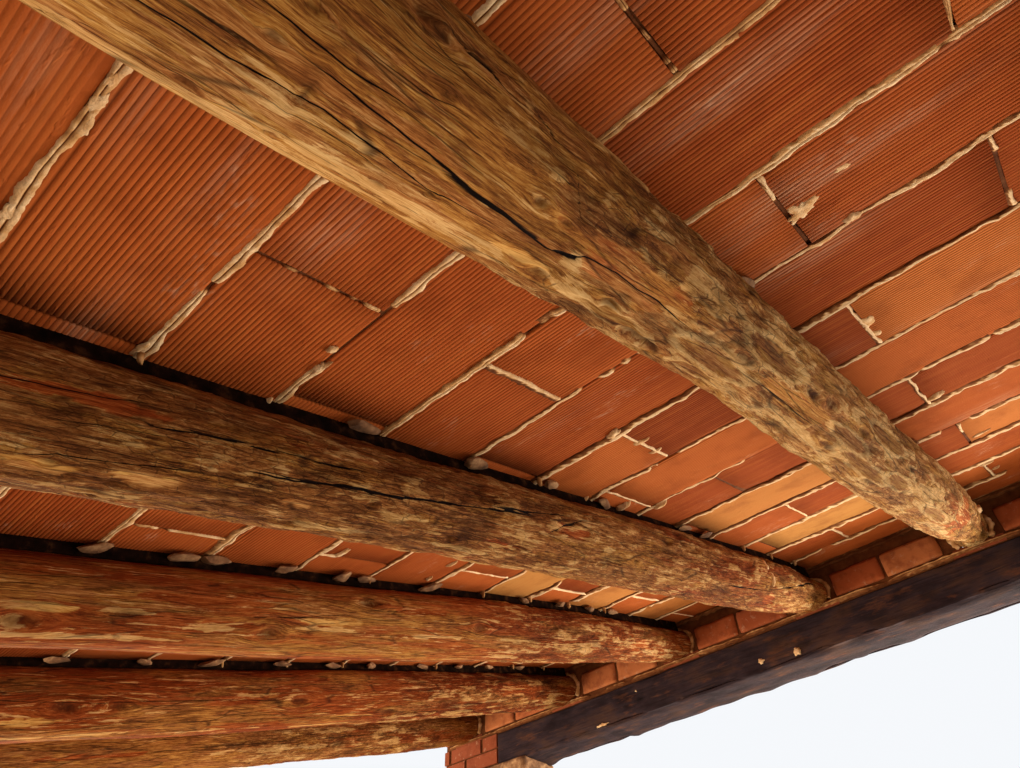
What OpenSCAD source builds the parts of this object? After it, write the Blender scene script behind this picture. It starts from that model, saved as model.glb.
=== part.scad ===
// Bay of a log roof: pole rafters laid up the slope from a low beam to a high
// one, a deck of ribbed hollow clay planks bedded on them in running bond, a
// mortar screed over the planks, and brick beam-fill between the log ends.
// Millimetres. X runs along the beams, Y towards the high beam, Z is up.
// The origin is the middle of the high beam's flat underside.

/* [Roof] */
// Slope of the roof, rising towards the high beam, in degrees
slope = 16.6; // [8:0.1:25]
// Number of pole rafters
log_count = 6; // [3:1:8]
// Distance from the deck's right-hand edge to the first rafter's centre
log_margin_right = 365; // [180:5:420]
// Distance from the deck's left-hand edge to the last rafter's centre
log_margin_left = 200; // [180:5:420]
// Mean radius of a pole rafter
log_r = 100; // [80:1:115]
// Height of the mortar packing between a log's top and the deck
packing_h = 26; // [20:1:40]
// Width of the packing strip on top of a log
packing_w = 78; // [50:1:90]
// How far a log stops short of the deck's edges
log_inset = 14; // [5:1:40]
// Length over which a log's upper end is trimmed thinner with the axe
toe_run = 550; // [200:10:800]

/* [Clay plank deck] */
// Length of one hollow clay plank
plank_l = 580; // [450:5:800]
// Width of one plank
plank_w = 250; // [200:5:300]
// Thickness of one plank
plank_h = 38; // [30:1:60]
// Mortar joint between planks
plank_joint = 10; // [6:1:16]
// Number of cells through a plank
plank_cells = 6; // [4:1:8]
// Clay between and around the cells
plank_wall = 7; // [5:0.5:10]
// Courses of planks up the slope
course_count = 18; // [12:1:20]
// Whole planks along a course
planks_per_course = 7; // [5:1:9]
// How far the planks' mortar stays back from the underside of the deck
joint_recess = 5; // [2:1:12]
// Thickness of the mortar screed over the planks
screed_h = 42; // [25:1:80]
// How far the deck runs on past the inner face of each beam
eave_run = 277; // [240:1:420]

/* [Beams] */
// Height of a beam
beam_h = 170; // [140:1:240]
// Depth of a beam, across the roof
beam_d = 225; // [180:1:300]
// Radius of the hewn arrises of a beam
beam_arris = 28; // [10:1:45]
// Height from a beam's top to the deck, at the lower of its two faces
beam_to_deck = 210; // [190:1:260]

/* [Seats and beam-fill] */
// Thickness of one seat tile
tile_h = 15; // [10:1:20]
// Length of a seat tile, along the beam
tile_l = 205; // [160:5:260]
// Thickness of the mortar under and between the seat tiles
tile_bed = 2; // [1:0.5:4]
// Length of a beam-fill brick
brick_l = 240; // [190:5:250]
// Height of a beam-fill brick
brick_h = 108; // [80:1:120]
// Depth of a beam-fill brick
brick_d = 108; // [90:1:120]
// Mortar joint between bricks
brick_joint = 10; // [6:1:15]
// How far the mortar stays back from the bricks' faces
mortar_recess = 8; // [3:1:15]

/* [Pier heads] */
// Length of a pier head, from the beam's end to the deck's edge
pier_l = 420; // [370:5:600]
// Courses of hollow bricks beside a beam's end
pier_courses = 2; // [1:1:3]
// Clay between the holes of a hollow brick
hollow_wall = 9; // [6:1:12]
// Holes across the end of a hollow brick
hollow_cols = 3; // [2:1:4]
// Height of the pad stone under a beam's end
pad_h = 90; // [60:5:160]
// Bearing of a beam on its pad stone
bearing = 200; // [120:10:300]
// Depth of the seat hewn into a beam's underside over each pad stone
pad_seat = 8; // [4:1:20]
// Clearance between a pad stone and the end of that seat
pad_gap = 12; // [5:1:30]

/* [Hidden] */

// Sides of a log's section and its angular step
log_sides = 16;
log_step = 360 / log_sides;
// Stations along a log, in percent of its length from the low end
log_stations = [0, 23, 42, 58, 73, 86, 100];
// How far each log wanders sideways at its stations, in percent of the mean radius
log_side = [[10, 5, -8, 0, 8, 0, 0],
            [-28, -28, -8, -8, 8, 8, 10],
            [-42, -40, -28, -12, -8, 12, 20],
            [-30, -20, 8, 22, 30, 20, 16],
            [-58, -62, -60, -45, -25, -2, 10],
            [-12, -8, 4, 10, 0, -6, -8]];
// Girth of each log at its stations, in percent of the mean radius
log_girth = [[104, 102, 101, 98, 97, 95, 90],
             [110, 109, 94, 106, 108, 92, 86],
             [107, 106, 100, 102, 101, 104, 98],
             [98, 98, 101, 101, 98, 89, 88],
             [102, 101, 100, 99, 97, 95, 90],
             [100, 99, 97, 96, 95, 93, 90]];
// Girth of each log's trimmed upper end, in percent of what it would be untrimmed
log_toe = [85, 76, 65, 77, 82, 85];

// How far each course is laid off the regular bond, counted from the low end
course_shift = [10, -8, 12, -130, 10, -5, 14, -5, 18, -20, 60, -18, 36, 8, 80, 0, -10, 5, -12, 6];
// The shortest closer laid at a verge
closer_min = 25;

pitch_u = plank_l + plank_joint;
pitch_v = plank_w + plank_joint;
deck_w = planks_per_course * pitch_u - plank_joint;
deck_l = course_count * pitch_v - plank_joint;
deck_v1 = eave_run;
deck_v0 = deck_v1 - deck_l;
beam_reach = deck_w / 2 - pier_l;
log_v0 = deck_v0 + log_inset;
log_v1 = deck_v1 - log_inset;
bed_h = 2 * (tile_h + tile_bed);
// Inner face of the head beam, and the deck's underside above it
face_y = -beam_d / 2;
face_z = beam_h + beam_to_deck;
// Outer face and top of the foot beam
foot_v = deck_v0 + eave_run - beam_d / cos(slope);
foot_out_y = face_y + foot_v * cos(slope);
foot_in_y = foot_out_y + beam_d;
foot_top_z = deck_z(foot_out_y) - beam_to_deck;
foot_z = foot_top_z - beam_h;
// The seat is hewn flat this far past a beam's inner face, then runs out at this angle
seat_run = 0.08 * log_r;
seat_angle = 60;
fit = 0.01;
// How far a cut runs past what it cuts
over = 1;

// Height of the deck's underside at a place across the roof
function deck_z(y) = face_z + (y - face_y) * tan(slope);

// A point of the roof plane, along the deck, up the slope and off it, in space
function on_roof(u, v, w) =
    [u, face_y + v * cos(slope) - w * sin(slope), face_z + v * sin(slope) + w * cos(slope)];

log_spacing = (deck_w - log_margin_right - log_margin_left) / (log_count - 1);
function log_x(i) = deck_w / 2 - log_margin_right - i * log_spacing;
function station_table(row) = [for (k = [0:len(log_stations) - 1]) [log_stations[k], row[k]]];
function along(v) = 100 * (v - log_v0) / (log_v1 - log_v0);
function log_u(i, v) = log_x(i) + log_r / 100 * lookup(along(v), station_table(log_side[i % 6]));
function untrimmed_rad(i, v) = log_r / 100 * lookup(along(v), station_table(log_girth[i % 6]));
function log_rad(i, v) =
    untrimmed_rad(i, v) * lookup(v, [[-toe_run, 1], [0, log_toe[i % 6] / 100]]);
// Middle of a log, measured off the deck: untrimmed, its top lies just under the packing
function log_w(i, v) = -packing_h - untrimmed_rad(i, v);

// Lowest height that a log may have over and near the beams
function seat_z(y) = max(
    beam_h + bed_h - max(0, face_y - seat_run - y) * tan(seat_angle),
    y < (face_y + foot_in_y) / 2
        ? foot_top_z + bed_h - max(0, y - foot_in_y - seat_run) * tan(seat_angle)
        : -10000);

// Lengths over which a log's out-of-round section turns once about it
long_wave = 32.4 * log_r;
short_wave = 18 * log_r;

// One point of a log's skin: its angle is 90 at the top, under the deck
function log_skin(i, v, a) =
    let (r = log_rad(i, v) * (1 + 0.03 * sin(2 * a + 50 * i + 360 * v / long_wave)
                                + 0.02 * sin(3 * a - 360 * v / short_wave)),
         p = on_roof(log_u(i, v) + r * cos(a), v, log_w(i, v) + r * sin(a)))
    [p[0], p[1], max(p[2], seat_z(p[1]))];

// Rings along a log: close together at the seats, further apart between them
seat_rings = 7;
seat_zone = 4.2 * log_r;
span_rings = 18;
// Where a log's underside passes the head beam's inner face
head_shoulder = -(seat_run + (packing_h + 2 * log_r) * sin(slope)) / cos(slope);
span_v0 = log_v0 + seat_zone;
span_v1 = head_shoulder - 1.5 * seat_run;
log_v = concat(
    [for (k = [0:seat_rings - 1]) log_v0 + seat_zone * k / seat_rings],
    [for (k = [0:span_rings]) span_v0 + (span_v1 - span_v0) * k / span_rings],
    [for (k = [0:seat_rings]) head_shoulder + (log_v1 - head_shoulder) * k / seat_rings]);

function mean_point(ring) = [for (k = [0:2]) [for (p = ring) 1] * [for (p = ring) p[k]] / len(ring)];

// A closed skin over a row of rings, each with the same number of points
module skin(rings) {
    n = len(rings[0]);
    m = len(rings);
    points = concat([for (ring = rings) each ring], [mean_point(rings[0]), mean_point(rings[m - 1])]);
    faces = concat(
        [for (j = [0:m - 2], k = [0:n - 1]) each [
            [j * n + k, j * n + (k + 1) % n, (j + 1) * n + (k + 1) % n],
            [j * n + k, (j + 1) * n + (k + 1) % n, (j + 1) * n + k]]],
        [for (k = [0:n - 1]) [m * n, (k + 1) % n, k]],
        [for (k = [0:n - 1]) [m * n + 1, (m - 1) * n + k, (m - 1) * n + (k + 1) % n]]);
    polyhedron(points = points, faces = faces, convexity = 6);
}

module log_body(i) {
    skin([for (v = log_v) [for (k = [0:log_sides - 1]) log_skin(i, v, -k * log_step)]]);
}

module log_rafter(i) {
    color([0.56, 0.38, 0.22]) log_body(i);
}

// Mortar strip that beds the deck on a log, on the log's own skin
packing_a = asin(packing_w / 2 / log_r);
packing_angles = [90 + packing_a, 90 + packing_a / 2, 90, 90 - packing_a / 2, 90 - packing_a];
// How far the packing stops short of the beam-fill
packing_clear = 20;
packing_low = foot_v + beam_d / cos(slope) + beam_to_deck * tan(slope) + packing_clear;
packing_v = [for (v = log_v) if (v > packing_low && v < -packing_clear) v];

module log_packing(i) {
    color([0.72, 0.62, 0.5])
        skin([for (v = packing_v)
            let (low = [for (a = packing_angles) log_skin(i, v, a)],
                 top = [for (k = [len(packing_angles) - 1:-1:0])
                     on_roof(low[k][0], v, 0)])
            concat(low, top)]);
}

module roof_plane() {
    translate([0, face_y, face_z]) rotate([slope, 0, 0]) children();
}

// Section of one plank, across its length: a flat box with rows of cells
module plank_section() {
    cell_w = (plank_w - (plank_cells + 1) * plank_wall) / plank_cells;
    difference() {
        square([plank_w, plank_h]);
        for (k = [0:plank_cells - 1])
            translate([plank_wall + k * (cell_w + plank_wall), plank_wall])
                square([cell_w, plank_h - 2 * plank_wall]);
    }
}

module clay_plank(u, v, l) {
    translate([u, v, 0]) rotate([90, 0, 90]) linear_extrude(l) plank_section();
}

// Middles of the end joints of a course: every other course is laid half a plank on
joint_limit = (deck_w - plank_joint) / 2 - closer_min;
function end_joints(k) = [for (j = [-1:planks_per_course])
    let (u = -(deck_w + plank_joint) / 2 + course_shift[k % 20] + (j + (k % 2 == 0 ? 1 : 0.5)) * pitch_u)
    if (abs(u) < joint_limit) u];

// Left ends and lengths of the planks of a course: none is longer than a whole plank
function course_planks(k) =
    let (joints = end_joints(k),
         left = concat([-deck_w / 2], [for (u = joints) u + plank_joint / 2]),
         right = concat([for (u = joints) u - plank_joint / 2], [deck_w / 2]))
    [for (j = [0:len(left) - 1])
        let (l = min(plank_l, right[j] - left[j]))
        [j == 0 ? right[j] - l : left[j], l]];
function course_v(k) = deck_v0 + k * pitch_v;

module plank_course(k) {
    color(k % 3 == 2 ? [0.78, 0.42, 0.22] : [0.7, 0.3, 0.16])
        roof_plane() for (p = course_planks(k)) clay_plank(p[0], course_v(k), p[1]);
}

// Screed over the deck, with the mortar that runs down into every joint
module mortar_screed() {
    fin_h = plank_h - joint_recess;
    color([0.74, 0.7, 0.64]) roof_plane() {
        translate([-deck_w / 2, deck_v0, plank_h]) cube([deck_w, deck_l, screed_h]);
        for (k = [1:course_count - 1])
            translate([-deck_w / 2, course_v(k) - plank_joint, joint_recess])
                cube([deck_w, plank_joint, fin_h + fit]);
        for (k = [0:course_count - 1])
            for (u = end_joints(k))
                translate([u - plank_joint / 2, course_v(k) - fit, joint_recess])
                    cube([plank_joint, plank_w + 2 * fit, fin_h + fit]);
    }
}

// Section of a beam: a rectangle with hewn, rounded lower arrises
module beam_section() {
    flat = beam_d / 2 - beam_arris;
    arc = [for (a = [270:15:360]) [cos(a), sin(a)] * beam_arris];
    right = [for (p = arc) [flat, beam_arris] + p];
    small = beam_arris / 3;
    polygon(concat(right,
        [[beam_d / 2, beam_h - small], [beam_d / 2 - small, beam_h],
         [-beam_d / 2 + small, beam_h], [-beam_d / 2, beam_h - small]],
        [for (k = [len(right) - 1:-1:0]) [-right[k][0], right[k][1]]]));
}

module beam(y, z) {
    translate([0, y, z]) difference() {
        translate([-beam_reach, 0, 0]) rotate([90, 0, 90]) linear_extrude(2 * beam_reach) beam_section();
        both_sides() translate([beam_reach - bearing - pad_gap, -beam_d / 2 - over, -over])
            cube([bearing + pad_gap + over, beam_d + 2 * over, pad_seat + over]);
    }
}

module head_beam() {
    color([0.2, 0.15, 0.13]) beam(0, 0);
}

module foot_beam() {
    color([0.2, 0.15, 0.13]) beam(foot_out_y + beam_d / 2, foot_z);
}

// The two bearing lines: inner y of the wall, top of the beam
bearings = [[face_y, beam_h], [foot_out_y, foot_top_z]];

// How far the upper seat tile is laid back from the lower one
tile_setback = 5;

module seat_tile_pair(i, y, z) {
    x = log_u(i, y < -beam_d ? log_v0 : log_v1);
    for (k = [0:1])
        translate([x - tile_l / 2 + k * tile_setback, y + k * tile_setback, z + tile_bed + k * (tile_h + tile_bed)])
            cube([tile_l - k * tile_setback, beam_d - k * tile_setback, tile_h]);
}

module seat_tiles() {
    color([0.68, 0.26, 0.14])
        for (b = bearings) for (i = [0:log_count - 1]) seat_tile_pair(i, b[0], b[1]);
}

// Bricks of one bay, laid from the right-hand log leftwards, the last one cut
function bay_right(i) = i == 0 ? deck_w / 2 : log_x(i - 1) - log_r - 2 * brick_joint;
function bay_left(i) = i == log_count ? -deck_w / 2 : log_x(i) + log_r + 2 * brick_joint;
function bay_bricks(i) = [for (x = bay_right(i); x - bay_left(i) > brick_l / 4; x = x - brick_l - brick_joint)
    let (l = min(brick_l, x - bay_left(i))) [x - l, l]];

module brick_rows(y, z) {
    rows = floor((beam_d + brick_joint) / (brick_d + brick_joint));
    for (i = [0:log_count])
        for (b = bay_bricks(i))
            for (r = [0:rows - 1])
                translate([b[0], y + r * (beam_d - brick_d) / max(1, rows - 1), z])
                    cube([b[1], brick_d, brick_h]);
}

module fill_bricks() {
    color([0.7, 0.32, 0.18])
        for (b = bearings) brick_rows(b[0], b[1] + bed_h);
}

// Room for a log through the beam-fill, whose faces it meets at v0 and v1; it runs out past both
sleeve_slack = 2;
sleeve_ratio = 1.08;
module log_sleeve(i, v0, v1) {
    r = sleeve_ratio * max(log_rad(i, v0 - log_r / 2), log_rad(i, v1)) + sleeve_slack;
    middle = (v0 + v1) / 2;
    roof_plane() translate([log_u(i, middle), v0 - 2 * log_r, log_w(i, middle)])
        rotate([-90, 0, 0]) cylinder(r = r, h = v1 - v0 + 4 * log_r, $fn = 48);
}

// Mortar of the beam-fill: all of it up to the deck, less logs, tiles and bricks
module fill_mortar(y, z) {
    y0 = y + mortar_recess;
    y1 = y + beam_d - mortar_recess;
    v0 = (y - face_y) / cos(slope);
    v1 = v0 + beam_d / cos(slope);
    difference() {
        translate([-deck_w / 2 + mortar_recess, 0, 0]) rotate([90, 0, 90])
            linear_extrude(deck_w - 2 * mortar_recess)
                polygon([[y0, z], [y1, z], [y1, deck_z(y1)], [y0, deck_z(y0)]]);
        for (i = [0:log_count - 1]) log_sleeve(i, v0, v1);
        for (i = [0:log_count - 1]) seat_tile_pair(i, y, z);
        brick_rows(y, z + bed_h);
    }
}

module head_fill_mortar() {
    color([0.76, 0.68, 0.58]) fill_mortar(face_y, beam_h);
}

module foot_fill_mortar() {
    color([0.76, 0.68, 0.58]) fill_mortar(foot_out_y, foot_top_z);
}

// Hollow bricks beside a beam's end, their holes along the beam
course_h = (beam_h - pad_seat - pier_courses * brick_joint) / pier_courses;

module hollow_brick(l) {
    hole_w = (brick_d - (hollow_cols + 1) * hollow_wall) / hollow_cols;
    hole_h = (course_h - 3 * hollow_wall) / 2;
    rotate([90, 0, 90]) linear_extrude(l) difference() {
        square([brick_d, course_h]);
        for (c = [0:hollow_cols - 1])
            for (r = [0:1])
                translate([hollow_wall + c * (hole_w + hollow_wall), hollow_wall + r * (hole_h + hollow_wall)])
                    square([hole_w, hole_h]);
    }
}

// Left ends and lengths of the bricks of a pier course, measured from the beam's end
function pier_row(c) = let (first = c % 2 == 0 ? brick_l : brick_l / 2 - brick_joint / 2)
    concat([[0, min(first, pier_l)]],
        [for (x = first + brick_joint; x < pier_l - brick_joint; x = x + brick_l + brick_joint)
            [x, min(brick_l, pier_l - x)]]);

module pier_stack(y, z) {
    for (c = [0:pier_courses - 1])
        for (b = pier_row(c))
            for (r = [0:1])
                translate([beam_reach + brick_joint + b[0], y + r * (beam_d - brick_d),
                           z + pad_seat + brick_joint + c * (course_h + brick_joint)])
                    hollow_brick(b[1] - brick_joint);
}

module both_sides() {
    children();
    mirror([1, 0, 0]) children();
}

pier_places = [[face_y, 0], [foot_out_y, foot_z]];

module pier_bricks() {
    color([0.74, 0.34, 0.2])
        both_sides() for (p = pier_places) pier_stack(p[0], p[1]);
}

module pier_mortar() {
    color([0.72, 0.64, 0.52])
        both_sides() for (p = pier_places)
            difference() {
                translate([beam_reach, p[0] + mortar_recess, p[1] + pad_seat])
                    cube([pier_l - mortar_recess, beam_d - 2 * mortar_recess, beam_h - pad_seat]);
                for (c = [0:pier_courses - 1])
                    for (b = pier_row(c))
                        for (r = [0:1])
                            translate([beam_reach + brick_joint + b[0], p[0] + r * (beam_d - brick_d),
                                       p[1] + pad_seat + brick_joint + c * (course_h + brick_joint)])
                                cube([b[1] - brick_joint, brick_d, course_h]);
            }
}

// Pad stones: the flat blocks that carry the beams' ends and the pier heads
pad_lip = 15;
module pad_stones() {
    color([0.82, 0.78, 0.68])
        both_sides() for (p = pier_places)
            translate([beam_reach - bearing, p[0] - pad_lip, p[1] + pad_seat - pad_h])
                cube([pier_l + bearing, beam_d + 2 * pad_lip, pad_h]);
}

log_rafter(0);  // log_rafter_1
log_rafter(1);  // log_rafter_2
log_rafter(2);  // log_rafter_3
log_rafter(3);  // log_rafter_4
log_rafter(4);  // log_rafter_5
log_rafter(5);  // log_rafter_6
log_packing(0);  // log_packing_1
log_packing(1);  // log_packing_2
log_packing(2);  // log_packing_3
log_packing(3);  // log_packing_4
log_packing(4);  // log_packing_5
log_packing(5);  // log_packing_6
plank_course(0);  // plank_course_01
plank_course(1);  // plank_course_02
plank_course(2);  // plank_course_03
plank_course(3);  // plank_course_04
plank_course(4);  // plank_course_05
plank_course(5);  // plank_course_06
plank_course(6);  // plank_course_07
plank_course(7);  // plank_course_08
plank_course(8);  // plank_course_09
plank_course(9);  // plank_course_10
plank_course(10);  // plank_course_11
plank_course(11);  // plank_course_12
plank_course(12);  // plank_course_13
plank_course(13);  // plank_course_14
plank_course(14);  // plank_course_15
plank_course(15);  // plank_course_16
plank_course(16);  // plank_course_17
plank_course(17);  // plank_course_18
mortar_screed();
head_beam();
foot_beam();
seat_tiles();
fill_bricks();
head_fill_mortar();
foot_fill_mortar();
pier_bricks();
pier_mortar();
pad_stones();
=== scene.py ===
# %% [markdown]
# # A log roof, seen from below
# This lesson dresses a imported CAD model of a roof bay: peeled pole rafters,
# a deck of combed clay planks, dark hewn beams and brick beam-fill.
# The CAD model gives every size and place, and Blender gives the finish.
# We start by loading it as a fixed frame.

# %% Load the frame
import math
import time

import bpy
import numpy as np
from mathutils import Matrix, Vector


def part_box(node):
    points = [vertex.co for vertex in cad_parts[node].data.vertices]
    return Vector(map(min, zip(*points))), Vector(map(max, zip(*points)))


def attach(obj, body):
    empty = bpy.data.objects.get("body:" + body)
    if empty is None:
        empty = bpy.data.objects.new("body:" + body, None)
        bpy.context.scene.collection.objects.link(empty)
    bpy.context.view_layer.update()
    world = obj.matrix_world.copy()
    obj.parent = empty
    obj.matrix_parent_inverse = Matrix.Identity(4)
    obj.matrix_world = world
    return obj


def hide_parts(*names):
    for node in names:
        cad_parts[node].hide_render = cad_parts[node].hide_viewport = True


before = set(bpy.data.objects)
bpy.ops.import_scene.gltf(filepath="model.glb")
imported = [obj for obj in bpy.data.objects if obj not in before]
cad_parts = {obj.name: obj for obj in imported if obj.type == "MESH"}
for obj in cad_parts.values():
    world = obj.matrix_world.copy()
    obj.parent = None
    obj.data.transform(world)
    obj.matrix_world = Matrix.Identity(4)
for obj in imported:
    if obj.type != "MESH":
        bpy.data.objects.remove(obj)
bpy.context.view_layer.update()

started = time.time()
MM = 0.001

# %% [markdown]
# The roof has axes of its own: u runs along the beams, v up the slope and w
# out of the deck. They could be typed in, but they are read off the clay
# planks instead, so that this script follows the CAD when it changes. Two
# courses are the same shape, so the step from one to the other is the slope.

# %% The roof's own axes
course_low, course_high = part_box("plank_course_01"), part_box("plank_course_18")
SLOPE = math.atan2(course_high[0].z - course_low[0].z, course_high[0].y - course_low[0].y)
COS, SIN = math.cos(SLOPE), math.sin(SLOPE)
course_size = course_low[1] - course_low[0]
PLANK_WIDTH, PLANK_THICKNESS = np.linalg.solve([[COS, SIN], [SIN, COS]], [course_size.y, course_size.z])

head_beam_box, foot_beam_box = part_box("head_beam"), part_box("foot_beam")
FACE_Y = head_beam_box[0].y
LOW_EDGE = np.array([course_low[0].y + PLANK_THICKNESS * SIN, course_low[0].z])
FACE_Z = LOW_EDGE[1] + (FACE_Y - LOW_EDGE[0]) * math.tan(SLOPE)
ROOF_AXES = np.array([[1, 0, 0], [0, COS, SIN], [0, -SIN, COS]])
ROOF_ZERO = np.array([0, FACE_Y, FACE_Z])


def on_roof(u, v, w):
    """Points given along the roof, up it and off it, as places in space."""
    return ROOF_ZERO + np.stack(np.broadcast_arrays(u, v, w), axis=-1) @ ROOF_AXES


def off_roof(points):
    """Places in space, as distances along the roof, up it and off it."""
    return (points - ROOF_ZERO) @ ROOF_AXES.T


print("slope, degrees:", round(math.degrees(SLOPE), 2), " plank, m:", PLANK_WIDTH.round(4),
      PLANK_THICKNESS.round(4))

# %% [markdown]
# The camera stands under the roof and looks up at about 45 degrees. Its
# place and turn were worked out from the evenly spaced plank joints in the
# photograph. Three unit vectors say where its picture's right, down and
# forward point, which is easier to check than three angles. The same numbers
# also turn a spot picked in the picture into a spot on the roof.

# %% Camera
EYE = np.array([1.2455, -3.2936, -1.4134])
VIEW_AXES = np.array([[0.7433, 0.6682, -0.0320],
                      [-0.4949, 0.5171, -0.6983],
                      [-0.4501, 0.5349, 0.7150]])
SENSOR_MM = 36.0
FOCAL_PX = 734.0
PICTURE_WIDTH_PX, PICTURE_HEIGHT_PX = 1020, 768
CENTRE_PX = np.array([PICTURE_WIDTH_PX, PICTURE_HEIGHT_PX]) / 2

camera_data = bpy.data.cameras.new("photo_camera")
camera_data.sensor_width = SENSOR_MM
camera_data.lens = SENSOR_MM * FOCAL_PX / PICTURE_WIDTH_PX
camera = bpy.data.objects.new("photo_camera", camera_data)
bpy.context.scene.collection.objects.link(camera)
right, down, forward = (Vector(axis) for axis in VIEW_AXES)
camera.matrix_world = Matrix.Translation(EYE) @ Matrix((right, -down, -forward)).transposed().to_4x4()
bpy.context.scene.camera = camera


def in_picture(points):
    """Where points in space fall in the picture, in pixels, and their depth."""
    seen = (points - EYE) @ VIEW_AXES.T
    return CENTRE_PX + FOCAL_PX * seen[..., :2] / seen[..., 2:], seen[..., 2]


def on_deck(px, py):
    """The spot on the deck's underside, as u and v, that a pixel shows."""
    ray = np.array([px - CENTRE_PX[0], py - CENTRE_PX[1], FOCAL_PX]) @ VIEW_AXES
    eye = off_roof(EYE)
    ray = ray @ ROOF_AXES.T
    spot = eye - ray * eye[2] / ray[2]
    return spot[:2]


print("camera lens, mm:", round(camera_data.lens, 2), " deck under pixel 500,400:",
      on_deck(500, 400).round(3))

# %% [markdown]
# Nothing on a hand-built roof is quite regular. Every wobble below comes from
# one smooth random field: each corner of a grid gets a fixed random number,
# and points between the corners get a blend. Blender has such noise too, but
# this one takes a whole mesh at once, and gives the same result each run.

# %% Smooth noise for whole meshes
CORNER_PRIMES = np.array([73856093, 19349663, 83492791])


def noise(points, cell, seed=0, octaves=1):
    """Smooth values of about -1 to 1. cell is the size of one lump along each axis."""
    points = np.asarray(points, float) / np.asarray(cell, float) + 17.3 * seed
    total, weight_sum, weight = 0.0, 0.0, 1.0
    for _ in range(octaves):
        cells = np.floor(points).astype(np.int64)
        part = points - cells
        part = part * part * (3 - 2 * part)
        value = 0.0
        for corner in range(8):
            step = np.array([corner & 1, corner >> 1 & 1, corner >> 2])
            key = (cells + step) @ CORNER_PRIMES + seed * 2654435
            key = (key ^ (key >> 13)) * 1274126177 & 0x7FFFFFFF
            random = ((key ^ (key >> 16)) & 0xFFFF) / 32767.5 - 1
            value = value + random * np.prod(np.where(step, part, 1 - part), axis=-1)
        total = total + weight * value
        weight_sum += weight
        weight *= 0.5
        points = points * 2.03 + 5.7
    return total / weight_sum


def ramp(value, low, high):
    """0 below low, 1 above high and a smooth rise between them."""
    t = np.clip((value - low) / (high - low), 0, 1)
    return t * t * (3 - 2 * t)


print("noise at three points:", noise([[0, 0, 0], [0.3, 0, 0], [0.6, 0, 0]], 1).round(3))

# %% [markdown]
# A few helpers keep the modelling short. Operators act on all that is
# selected, so each step first says which objects it means. Points are read
# and written for a whole mesh at once.

# %% Modelling helpers
def select(*objects):
    """Selects only these objects, and makes the first one active."""
    bpy.ops.object.select_all(action="DESELECT")
    for obj in objects:
        obj.select_set(True)
    bpy.context.view_layer.objects.active = objects[0]


def points_of(obj):
    flat = np.empty(len(obj.data.vertices) * 3, np.float32)
    obj.data.vertices.foreach_get("co", flat)
    return flat.reshape(-1, 3).astype(float)


def move_points(obj, points):
    obj.data.vertices.foreach_set("co", np.asarray(points, np.float32).ravel())
    obj.data.update()


def paint(obj, name, values):
    """Keeps a number, a vector or a colour for each point, for the materials to read."""
    values = np.asarray(values, np.float32)
    kind = {1: "FLOAT", 2: "FLOAT_VECTOR"}[values.ndim]
    layer = obj.data.attributes.get(name) or obj.data.attributes.new(name, kind, "POINT")
    layer.data.foreach_set("value" if values.ndim == 1 else "vector", values.ravel())


def smooth_shade(obj):
    obj.data.polygons.foreach_set("use_smooth", [True] * len(obj.data.polygons))
    obj.data.update()


def new_grid(columns, rows):
    """Adds a grid, and says in which column and row each of its points is."""
    bpy.ops.object.select_all(action="DESELECT")
    bpy.ops.mesh.primitive_grid_add(x_subdivisions=columns, y_subdivisions=rows, size=1)
    grid = bpy.context.object
    flat = points_of(grid)
    column = np.rint((flat[:, 0] + 0.5) * columns).astype(int)
    row = np.rint((flat[:, 1] + 0.5) * rows).astype(int)
    return grid, column, row


def close_up(piece, merge=0.00001, fill=False):
    """Merges the seams that rolling leaves, or fills the holes, and turns all faces outwards."""
    select(piece)
    bpy.ops.object.mode_set(mode="EDIT")
    bpy.ops.mesh.select_all(action="SELECT")
    if fill:
        bpy.ops.mesh.fill_holes(sides=0)
    else:
        bpy.ops.mesh.remove_doubles(threshold=merge)
    bpy.ops.mesh.normals_make_consistent(inside=False)
    bpy.ops.object.mode_set(mode="OBJECT")
    smooth_shade(piece)


def join(pieces, name):
    """Joins pieces into the first one, which keeps their places in its mesh."""
    select(*pieces)
    if len(pieces) > 1:
        bpy.ops.object.join()
    bpy.ops.object.transform_apply(location=True, rotation=True, scale=True)
    piece = bpy.context.object
    piece.name = name
    piece.data.name = name
    return piece


def finish_piece(piece, material, replaces=()):
    """Gives a piece its material and slot, and lets it ride with the roof."""
    piece.data.materials.clear()
    piece.data.materials.append(material)
    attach(piece, "root")
    if replaces:
        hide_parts(*replaces)
    piece.data.calc_loop_triangles()
    print(f"{piece.name}: {len(piece.data.loop_triangles)} triangles, {time.time() - started:.1f} s")


# %% [markdown]
# Bricks, tiles and planks lie exactly where the CAD has them. A CAD node is
# one mesh of loose triangles, so a copy of it is merged and split into its
# separate solids, and each gives the box that its dressed piece fills.

# %% Read the separate solids of a CAD node
def solids_of(node):
    """The points of each separate solid of a CAD node, in space."""
    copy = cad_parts[node].copy()
    copy.data = copy.data.copy()
    copy.parent = None
    for key in [key for key in copy.keys() if key.startswith("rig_")]:
        del copy[key]
    bpy.context.scene.collection.objects.link(copy)
    select(copy)
    bpy.ops.object.mode_set(mode="EDIT")
    bpy.ops.mesh.select_all(action="SELECT")
    bpy.ops.mesh.remove_doubles(threshold=0.0001)
    bpy.ops.mesh.separate(type="LOOSE")
    bpy.ops.object.mode_set(mode="OBJECT")
    parts = list(bpy.context.selected_objects)
    points = [points_of(part) for part in parts]
    for part in parts:
        bpy.data.meshes.remove(part.data)
    return points


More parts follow.
